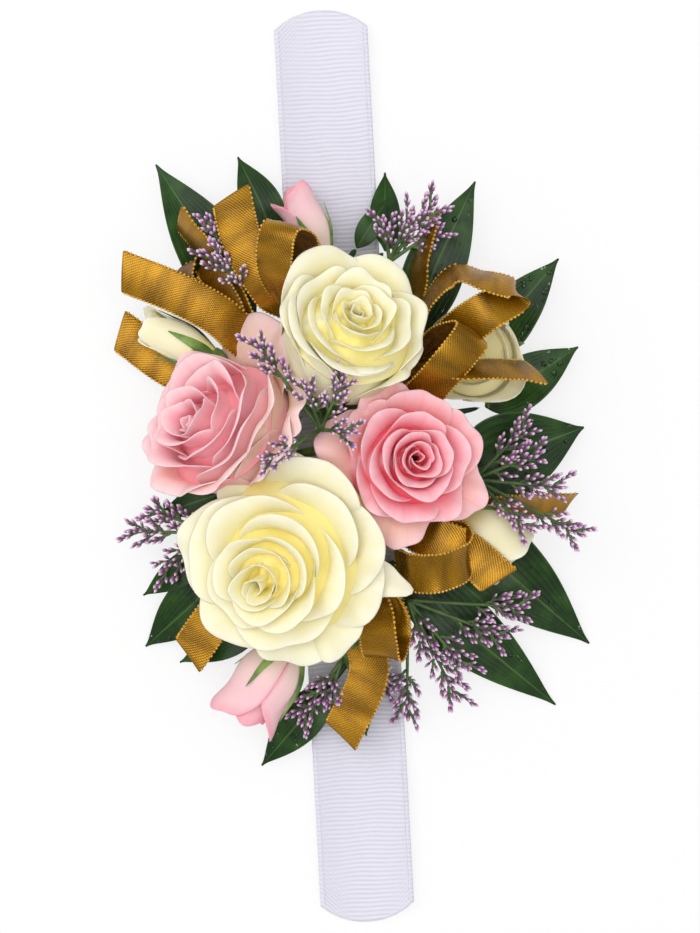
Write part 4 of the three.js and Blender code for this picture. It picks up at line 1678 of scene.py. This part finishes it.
@dataclass
class Sprig:
    """A statice sprig: a wiry stem that forks into spikes of small papery florets."""

    name: str
    at: float
    fork: Point
    tips: list[Point]
    seed: int
    twig: float = 0.55
    arch: float = 0.8
    spike: float = 7.0
    branch: float = 4.2
    branch_gap: float = 2.1
    branch_span: float = 14.0
    first_branch: float = 1.5
    bare_share: float = 0.3
    spacing: float = 0.55
    tall: tuple[float, float] = (0.85, 1.15)
    wide: tuple[float, float] = (0.38, 0.5)
    neck: tuple[float, float] = (0.4, 1.0)

    def build(self) -> None:
        """Makes the twigs and their florets."""
        rng = random.Random(self.seed)
        twigs = Model()
        florets = Model("height")
        branch = Vector(self.fork)
        twigs.tube(Route([SPINE.point(self.at, 0), branch]), lambda v: self.twig * 1.5, 7, 6)
        for end in self.tips:
            tip = Vector(end)
            middle = branch.lerp(tip, 0.5) + Vector((0, 0, self.arch))
            route = Route([branch - (tip - branch).normalized() * self.twig, middle, tip])
            twigs.tube(route, lambda v: self.twig * (1.1 - 0.6 * v), 7, 12)
            self.flowers(twigs, florets, route, 1 - min(self.spike, route.length * 0.6) / route.length, rng)
            self.branches(twigs, florets, route, rng)
        twigs.piece(f"{self.name}_twigs", TWIG, [self.name])
        florets.piece(f"{self.name}_florets", FLORET, [self.name])

    def branches(self, twigs: Model, florets: Model, route: Route, rng: random.Random) -> None:
        """Adds the short side spikes of one twig, on each side in turn.

        Args:
            twigs: the mesh of the twigs.
            florets: the mesh of the florets.
            route: the twig's middle line.
            rng: draws what differs from spike to spike.
        """
        span = min(self.branch_span, route.length * 0.8)
        for i in range(int(span / self.branch_gap)):
            t = 1 - (self.first_branch + i * self.branch_gap) / route.length
            along = route.heading(t)
            side = along.cross(Vector((0, 0, 1))).normalized() * (1 if i % 2 else -1)
            way = along + side * rng.uniform(0.5, 1.0) + Vector((0, 0, rng.uniform(0.1, 0.6)))
            way.normalize()
            foot = route.at(t)
            reach = self.branch * rng.uniform(0.75, 1.15)
            elbow = foot + way * reach * 0.5 + along * 0.3
            shoot = Route([foot, elbow, foot + way * reach + along * 0.9])
            twigs.tube(shoot, lambda v: self.twig * (0.75 - 0.3 * v), 6, 5)
            self.flowers(twigs, florets, shoot, self.bare_share, rng)

    def flowers(self, twigs: Model, florets: Model, route: Route, start: float, rng: random.Random) -> None:
        """Adds the florets of one spike, in turns round its twig.

        Args:
            twigs: the mesh of the twigs.
            florets: the mesh of the florets.
            route: the twig's middle line.
            start: the share of its length where the florets start.
            rng: draws what differs from floret to floret.
        """
        count = max(4, int(route.length * (1 - start) / self.spacing))
        for i in range(count + 1):
            t = lerp(start, 1, i / count)
            along = route.heading(t)
            turn = math.radians(i * GOLDEN_TURN + rng.uniform(-25, 25))
            side = along.cross(OFF_STALKS).normalized()
            out = side * math.cos(turn) + side.cross(along) * math.sin(turn)
            spread = rng.uniform(0.4, 0.9) * (1 - 0.75 * i / count)
            way = (along + out * spread + Vector((0, 0, 0.15))).normalized()
            foot = route.at(t)
            tall, wide, neck = (rng.uniform(*span) for span in (self.tall, self.wide, self.neck))
            twigs.tube(Route([foot, foot + way * (neck + 0.6)]), lambda v: 0.26 + 0.22 * v, 5, 2)
            self.floret(florets, foot + way * (neck + tall), (wide, wide, tall), way)

    def floret(self, florets: Model, centre: Vector, size: Point, way: Vector) -> None:
        """Adds one floret, numbered by height from its foot to its tip.

        Args:
            florets: the mesh that it joins.
            centre: its middle.
            size: its three half lengths.
            way: the direction that it points.
        """
        for vert in florets.ball(centre, size, turn_to(way)):
            height = (vert.co - centre).dot(way) / size[2]
            vert[florets.numbers["height"]] = (height + 1) / 2


class Fold(Enum):
    """How a length of ribbon leaves its knot."""

    TAIL = "tail"
    LOOP = "loop"


@dataclass
class Ribbon:
    """One length of satin ribbon, from the knot to a cut end or round and back."""

    path: list[Point]
    across: tuple[Point, Point]
    fold: Fold = Fold.TAIL
    camber: float = 0.6
    notch: float = 1.6
    double_faced: bool = False


@dataclass
class Bow:
    """A wired bow: ribbons gathered in a knot on a short wire."""

    name: str
    at: float
    knot: Point
    ribbons: list[Ribbon]
    seed: int
    width: float = 10.0
    pinch: float = 3.2
    wall: float = 0.3
    gather: float = 0.28
    crease: float = 0.9
    ripple_pitch: tuple[float, float] = (1.5, 0.9)
    columns: int = 14
    knot_radius: float = 3.0
    wire: float = 0.9
    bead: float = 0.36
    bead_pitch: float = 0.95
    bead_inset: float = 0.97
    widest_gap: float = 1.6
    coil_turns: int = 4
    coil_steps: int = 40
    coil_rise: float = 1.6
    coil_thread: float = 0.5
    core_rise: float = 2.2

    def build(self) -> None:
        """Makes the ribbons, their beaded edges and the knot."""
        for i, ribbon in enumerate(self.ribbons):
            self.length(f"{self.name}_{ribbon.fold.value}_{i + 1}", ribbon, i)
        centre = Vector(self.knot)
        model = Model()
        radius = 0.75 * self.knot_radius
        turns = np.linspace(0, 2 * self.coil_turns * math.pi, self.coil_steps + 1)
        coil = [centre + Vector((radius * math.cos(turn), radius * math.sin(turn),
                                 lerp(-self.coil_rise, self.coil_rise, k / self.coil_steps)))
                for k, turn in enumerate(turns)]
        model.tube(Route(coil), lambda v: self.coil_thread, 7, 3 * self.coil_steps)
        half = Vector((0, 0, self.core_rise))
        model.tube(Route([centre - half, centre + half]),
                   lambda v: 0.8 * self.knot_radius * math.sin(math.pi * v) ** 0.5, 12, 10)
        model.tube(Route([SPINE.point(self.at, 0.3), centre]), lambda v: self.wire, 8, 6)
        model.piece(f"{self.name}_knot", BEADS, [self.name])

    def length(self, name: str, ribbon: Ribbon, number: int) -> None:
        """Makes one length of ribbon with its two beaded edges.

        Args:
            name: the piece's name.
            ribbon: its path and how it lies.
            number: its number in the bow.
        """
        rng = random.Random(self.seed * 31 + number)
        centre = Vector(self.knot)
        loop = ribbon.fold is Fold.LOOP
        back = [centre + Vector((0.6, 0.6, -self.knot_radius / 2))] if loop else []
        route = Route([centre, *(Vector(p) for p in ribbon.path), *back])
        first, second = (Vector(a) for a in ribbon.across)
        phase = rng.uniform(0, math.tau)
        coarse, fine = self.ripple_pitch

        def point(u: float, v: float) -> Vector:
            """A point of the ribbon.

            Args:
                u: its place across, from -1 to 1.
                v: its place along, from 0 to 1.

            Returns:
                The point.
            """
            along = route.heading(v)
            side = first.lerp(second, v)
            side = (side - along * side.dot(along)).normalized()
            gathered = min(v, 1 - v) if loop else v
            half = lerp(self.pinch, self.width, smoothstep(gathered, 0, self.gather)) / 2
            crease = (1 - smoothstep(gathered, 0, 0.3)) * self.crease * math.cos(2.5 * math.pi * u)
            place = route.length * v
            ripple = math.sin(place / coarse + phase) + 0.6 * math.sin(place / fine + 2 * phase)
            lift = ribbon.camber * (1 - u * u) + crease + (0.05 + 0.07 * u) * ripple
            slant = 0.0 if loop else ribbon.notch * u * smoothstep(v, 0.85, 1)
            return route.at(v) + along * slant + side * (u * half) + side.cross(along) * lift

        model = Model()
        rows = max(24, round(route.length * 0.9))
        model.grid(self.columns, rows, point, size=(self.width, route.length))
        crown = max((k / 20 for k in range(6, 17 if loop else 20)), key=lambda v: route.at(v).z)
        middle = point(0, crown)
        normal = (point(0.5, crown) - middle).cross(point(0, crown + 0.01) - middle)
        # the side that faces down at the crown takes the dull back, its colour painted darker as the shade
        # inside the loop; a double faced ribbon is satin on both sides
        back = SATIN if ribbon.double_faced else SATIN_BACK_PAINTED_SHADE
        sides = [SATIN, back] if normal.z > 0 else [back, SATIN]
        made = model.piece(name, SATIN, [self.name], wall=self.wall, levels=1, sides=sides)
        edge = Model()
        count = int(route.length / self.bead_pitch)
        for i in range(1, count):
            for u in (-1, 1):
                place = point(u * self.bead_inset, i / count)
                gap = place - point(u * self.bead_inset, (i - 1) / count)
                if gap.length > self.widest_gap * self.bead_pitch:
                    continue
                turn = turn_to(route.heading(i / count))
                edge.ball(place, (self.bead, self.bead, self.bead * 1.15), turn)
        beads = edge.piece(f"{name}_beads", BEADS)


ROSES = [
    Rose("white_rose_lower", WHITE_PETAL, (-9, -17, 17), -14, 24, 215, 27, 28, 0.5, 96, [
        PetalShape(172, 1.06, 8, 0.7, 50), PetalShape(102, 1.02, 6, 0.6, 54), PetalShape(62, 1.0, 0, 0.3, 52),
        PetalShape(8, 0.95, 0, 0.2, 54), PetalShape(-32, 0.95, 2, 0.3, 50), PetalShape(-66, 1.03, 4, 0.3, 34),
        PetalShape(-90, 1.06, 8, 0.5, 40), PetalShape(-136, 0.99, 0, 0.2, 58),
        PetalShape(-20, 1.2, 26, 1.0, 32, 0.03, 0.26)],
        seed=3, sink=0.42, inner=18, peak=0.05, side_roll=2.4, core_depth=4.2, eye=(-5.5, -5.5), slide=0.8),
    Rose("pink_rose_right", PINK_PETAL, (13, 0, 16.5), 1, 14, 10, 18.5, 24, 0.6, 92, [
        PetalShape(78, 0.97, 0, 0.25, 58), PetalShape(18, 1.0, 0, 0.3, 56), PetalShape(-62, 0.98, 0, 0.1, 54),
        PetalShape(-108, 1.25, 18, 0.9, 44, 0.02), PetalShape(-36, 1.18, 12, 0.6, 42, 0.015),
        PetalShape(164, 1.3, 22, 0.8, 40, 0.015), PetalShape(138, 1.06, 8, 0.5, 50),
        PetalShape(-140, 0.93, 0, 0.1, 56), PetalShape(112, 1.14, 8, 0.5, 40)],
        seed=7, inner=16, peak=0.08, side_roll=3.0, slide=0.4),
    Rose("white_rose_upper", GREENISH_PETAL, (-1.2, 24.3, 17), 18, 30, 60, 18.3, 30, 0.82, 84, [
        PetalShape(165, 1.0, 2, 0.3, 62), PetalShape(112, 1.2, 8, 0.3, 60), PetalShape(58, 1.14, 6, 0.3, 62),
        PetalShape(0, 1.0, 4, 0.3, 60), PetalShape(-42, 1.0, 16, 0.5, 48, 0.01),
        PetalShape(-106, 0.94, -4, 0.2, 72), PetalShape(-162, 0.96, -3, 0.2, 66)],
        seed=12, sink=0.2, inner=16, side_roll=2.2, core_depth=3.6),
    Rose("pink_rose_left", PALE_PINK_PETAL, (-19.5, 5, 15.5), 5, 50, 146, 20.5, 28, 0.76, 84, [
        PetalShape(66, 1.5, 22, 0.8, 46), PetalShape(-14, 1.04, 8, 0.9, 62, 0.02),
        PetalShape(-70, 1.04, 8, 0.9, 60, 0.02), PetalShape(-120, 1.06, 6, 0.5, 56),
        PetalShape(180, 1.0, 2, 0.2, 58), PetalShape(125, 1.0, 2, 0.1, 58),
        PetalShape(-40, 0.92, -4, 0.1, 74), PetalShape(-30, 1.18, 38, 1.0, 40, 0.02),
        PetalShape(2, 1.28, 34, 1.0, 36, 0.03)],
        seed=21, sink=0.22, inner=15, eye=(-1.5, -3.5)),
]

BUDS = [
    Bud("pink_bud_top", BLUSH_PETAL, (-2, 52, 12), (-10.4, 69, 13), 44, 5.4, 31, open=1.4),
    Bud("white_bud_left", GREENISH_PETAL, (-31, 28.5, 14), (-49.5, 38, 14), 10, 5.2, 32),
    Bud("white_bud_right", GREENISH_PETAL, (33.5, 25.7, 7), (33.2, 24.8, 18), 8, 12.5, 33, open=2.9),
    Bud("white_bud_lower", GREENISH_PETAL, (26, -14, 10), (42.5, -27, 10.5), -19, 9.5, 34),
    Bud("pink_bud_bottom", BLUSH_PETAL, (-14, -43, 12), (-29.5, -62.5, 12), -38, 8.5, 35),
]

LEAVES = [Leaf(f"leaf_{number:02d}", *row, seed=number) for number, row in enumerate([
    (32, (-20, 38, 6.5), (-42.8, 77.5, 7.5), 17),
    (47, (-12.5, 55, 7), (-22.5, 78.9, 2.5), 11),
    (47, (13, 53, 6.5), (14.2, 73, 2.5), 8, ((6, 54, 8), (14.5, 66, 8), 6)),
    (34, (16.5, 32, 6.5), (36.4, 69, 8), 15.5, None, 40),
    (26, (34, 25, 5.2), (56.2, 48.8, 7), 13, None, 45),
    (12, (36, 13, 4.6), (60, 26.6, 6), 13, None, 30),
    (2, (27, -4, 5.2), (60.5, 6.5, 4.5), 22, None, 40),
    (-12, (22, -12, 4.6), (59.3, -47.9, 0.6), 20, None, 35),
    (-28, (9, -25, 5.5), (50, -62.9, 0.6), 17, None, 40),
    (-47, (-6, -54, 7), (-24.6, -74, 2.5), 11, ((0.5, -57, 6.5), (2, -67.5, 6), 5), 25),
    (-31, (-22, -38, 6.5), (-43.7, -47, 3), 9),
    (-22, (-29, -24, 6), (-52.3, -42.7, 0.6), 14, None, 20),
    (-17, (-34, -19, 8.5), (-51.8, -29.6, 5), 8),
    (-2, (-22, -3, 7), (-47, -9.5, 4), 10),
], start=1)]

SPRIGS = [Sprig(f"statice_{number:02d}", *row, seed=40 + number) for number, row in enumerate([
    (46, (14, 50, 11.5), [(25.5, 63, 15), (19.5, 60.5, 15.5), (13, 59.5, 13.5), (26, 57, 13)]),
    (38, (-22, 45, 18.5), [(-29, 61.5, 18.5), (-30, 53, 21.5), (-25.5, 54, 20), (-24, 47, 25)]),
    (8, (-5, 9, 32), [(-19, 30, 36), (-18, 2, 42.5), (-8, 19.5, 38), (1, 20.5, 41), (2, 8, 37)]),
    (-6, (32, -5, 12.5), [
        (47.7, 0.5, 15), (52.2, -8, 16), (56.5, -19.5, 18), (44.2, -17.5, 19), (45, 7, 14.5)]),
    (-30, (14, -34, 11), [
        (42.3, -37.3, 10), (36.9, -44.2, 10), (17.9, -47, 10), (26.8, -51, 8), (24.7, -58.6, 6.5),
        (12.5, -62.5, 4.5)]),
    (-10, (-33, -15, 9.5), [(-53, -13.4, 8), (-48, -8.5, 8.5), (-45.7, -23, 9)]),
    (-43, (-3, -48, 9.5), [(-13.7, -61.3, 9), (-7, -58, 9), (9.5, -55.5, 5)]),
], start=1)]

BOWS = [
    Bow("bow_top_left", 35, (-9, 36, 15), [
        Ribbon([(-15, 43, 21), (-21.5, 55, 23), (-24, 67.5, 21)], ((1, 0.3, 0.2), (1, 0.3, 0.1))),
        Ribbon([(-12.5, 42, 24), (-14.2, 49.5, 29.5), (-12, 58, 31.5), (-8.5, 57.5, 27), (-6.5, 49, 20)],
               ((0.85, -0.3, 0.42), (0.85, -0.3, 0.42)), Fold.LOOP)], 51),
    Bow("bow_left", 20, (-20, 25, 11), [
        Ribbon([(-26, 36, 18), (-37, 43.5, 21), (-51.6, 50.4, 20)], ((0.45, 0.9, 0), (0.5, 0.8, 0.2))),
        Ribbon([(-38, 25, 5.4), (-54.4, 37, 4.6)], ((0.5, 0.8, 0), (0.5, 0.8, 0))),
        Ribbon([(-24, 43, 13.5), (-37.3, 63.5, 13.5)], ((0.35, 0.3, 0.9), (0.35, 0.3, 0.9))),
        Ribbon([(-31, 40, 14.5), (-36.5, 48.5, 15.5), (-32, 52.5, 16), (-28, 44, 15)],
               ((0.6, 0.3, 0.7), (0.6, 0.3, 0.7)), Fold.LOOP)], 52),
    Bow("bow_right", 24, (17, 24, 13), [
        Ribbon([(22.9, 39.2, 22), (29.4, 44.8, 25), (36.5, 42.8, 27), (43.8, 39.7, 27), (36.4, 35.3, 30),
                (30.3, 31.8, 26)], ((0, 0, 1), (0.53, -0.85, -0.25)), Fold.LOOP, double_faced=True),
        Ribbon([(18.5, 16, 22.5), (26.3, 22.6, 31.5), (32.5, 30.2, 30), (27, 30, 23.5)],
               ((0.83, -0.55, -0.45), (0.83, -0.55, -0.45)), Fold.LOOP),
        Ribbon([(24, 22.8, 23.5), (31, 21.6, 26.5), (39, 21.4, 26), (48.1, 20.2, 22.5)],
               ((0.2, -0.3, 0.95), (0.38, -0.6, 0.7))),
        Ribbon([(20, 40, 12), (21.5, 49, 13.5), (24.5, 60, 10.5)], ((0.4, 0, 0.9), (0.4, 0, 0.9)))], 53),
    Bow("bow_lower_right", -15, (11, -14.5, 14.5), [
        Ribbon([(12, -24, 20), (14.5, -26.5, 25.5), (21.5, -27, 29), (29, -24.5, 25.5), (29, -20.5, 19)],
               ((0, 0.94, 0.34), (0.1, 0.94, 0.34)), Fold.LOOP, double_faced=True),
        Ribbon([(19, -18, 19.5), (28, -22, 21), (36.5, -30, 21.5)], ((0.6, 0.8, 0), (0.74, 0.67, 0))),
        Ribbon([(25, -12.5, 10.5), (38, -12.5, 9), (56, -12.7, 7.5)], ((0, 0.6, 0.8), (0, 0.6, 0.8)))], 54),
    Bow("bow_bottom", -27, (3, -27, 16.5), [
        Ribbon([(4.5, -31, 23), (5.8, -39, 25.5), (6.8, -47.5, 21.5), (9.5, -43, 15), (9, -34, 14.5)],
               ((0.9, -0.15, 0.4), (0.9, -0.15, 0.4)), Fold.LOOP, double_faced=True),
        Ribbon([(2, -38, 12.7), (3.5, -51, 13.5), (-4.5, -67, 11)],
               ((0.95, 0, 0.2), (0.9, -0.35, 0.2)))], 55),
    Bow("ribbon_tail_left", -26, (-9, -28, 10.5), [
        Ribbon([(-22, -30, 11), (-31, -33, 12.5), (-41.3, -45, 11)],
               ((0.2, 0.9, 0.2), (0.75, -0.6, 0)))], 56),
]


@dataclass
class Studio:
    """The pale floor, the soft light and the camera straight above the corsage."""

    camera_height: float = 620.0
    focal_pixels: float = 2457.0
    picture_height: int = 933
    sensor: float = 36.0
    roll: float = 3.05
    centre: tuple[float, float] = (1.5, -0.2)
    sky_low: float = 0.52
    sky_high: float = 0.72
    lamp_size: float = 500.0
    key_place: Point = (-330.0, 200.0, 680.0)
    key_power: float = 1.6
    fill_place: Point = (40.0, -30.0, 850.0)
    fill_power: float = 2.0
    floor_size: float = 3000.0
    floor_drop: float = 0.4

    def build(self) -> None:
        """Makes the floor, the lights, the sky and the camera."""
        scene = bpy.context.scene
        scene.view_settings.view_transform = "Standard"
        self.floor()
        self.lamp("key", self.key_place, self.key_power)
        self.lamp("fill", self.fill_place, self.fill_power)
        scene.world = self.world()
        data = bpy.data.cameras.new("camera")
        data.sensor_width = self.sensor
        data.lens = self.focal_pixels * self.sensor / self.picture_height
        camera = bpy.data.objects.new("camera", data)
        camera.location = Vector((*self.centre, self.camera_height)) * MM
        camera.rotation_euler = (0, 0, -math.radians(self.roll))
        scene.collection.objects.link(camera)
        scene.camera = camera

    def world(self) -> bpy.types.World:
        """A sky that is bright overhead and dimmer low down, and plain white to the camera.

        Returns:
            The world that holds it.
        """
        world = bpy.data.worlds.new("studio")
        shader = Shader(world)
        view = {"Vector": shader.node("ShaderNodeTexCoord", None, None, "Generated")}
        up = shader.node("ShaderNodeSeparateXYZ", None, view, "Z")
        sky = abs(up) * (self.sky_high - self.sky_low) + self.sky_low
        seen = shader.ray("Camera")
        strength = sky * (1 - seen) + seen
        shader.show(shader.node("ShaderNodeBackground", None, {"Color": (1, 1, 1, 1), "Strength": strength}),
                    "ShaderNodeOutputWorld")
        return world

    def floor(self) -> None:
        """Makes the floor just under the band."""
        bm = bmesh.new()
        bmesh.ops.create_grid(bm, x_segments=1, y_segments=1, size=self.floor_size * MM)
        bmesh.ops.translate(bm, vec=(0, 0, -self.floor_drop * MM), verts=bm.verts)
        mesh = bpy.data.meshes.new("floor")
        bm.to_mesh(mesh)
        bm.free()
        mesh.materials.append(FLOOR.material())
        made = bpy.data.objects.new("floor", mesh)
        bpy.context.scene.collection.objects.link(made)

    def lamp(self, name: str, place: Point, power: float) -> None:
        """Makes a soft square lamp that shines on the corsage.

        Args:
            name: the lamp's name.
            place: where it hangs.
            power: its power in watts.
        """
        data = bpy.data.lights.new(name, "AREA")
        data.size = self.lamp_size * MM
        data.energy = power
        made = bpy.data.objects.new(name, data)
        made.location = Vector(place) * MM
        made.rotation_euler = (-made.location).to_track_quat("-Z", "Y").to_euler()
        bpy.context.scene.collection.objects.link(made)


@dataclass
class Corsage:
    """The whole corsage, from the band up."""

    band: Band = field(default_factory=Band)

    def build(self) -> None:
        """Makes every part in turn."""
        self.band.build()
        SPINE.build()
        for part in (*ROSES, *BUDS, *LEAVES, *SPRIGS, *BOWS):
            part.build()


def main() -> None:
    """Makes the corsage and its studio."""
    logging.basicConfig(level=logging.INFO, format="%(message)s")
    Corsage().build()
    Studio().build()


if __name__ == "__main__":
    main()
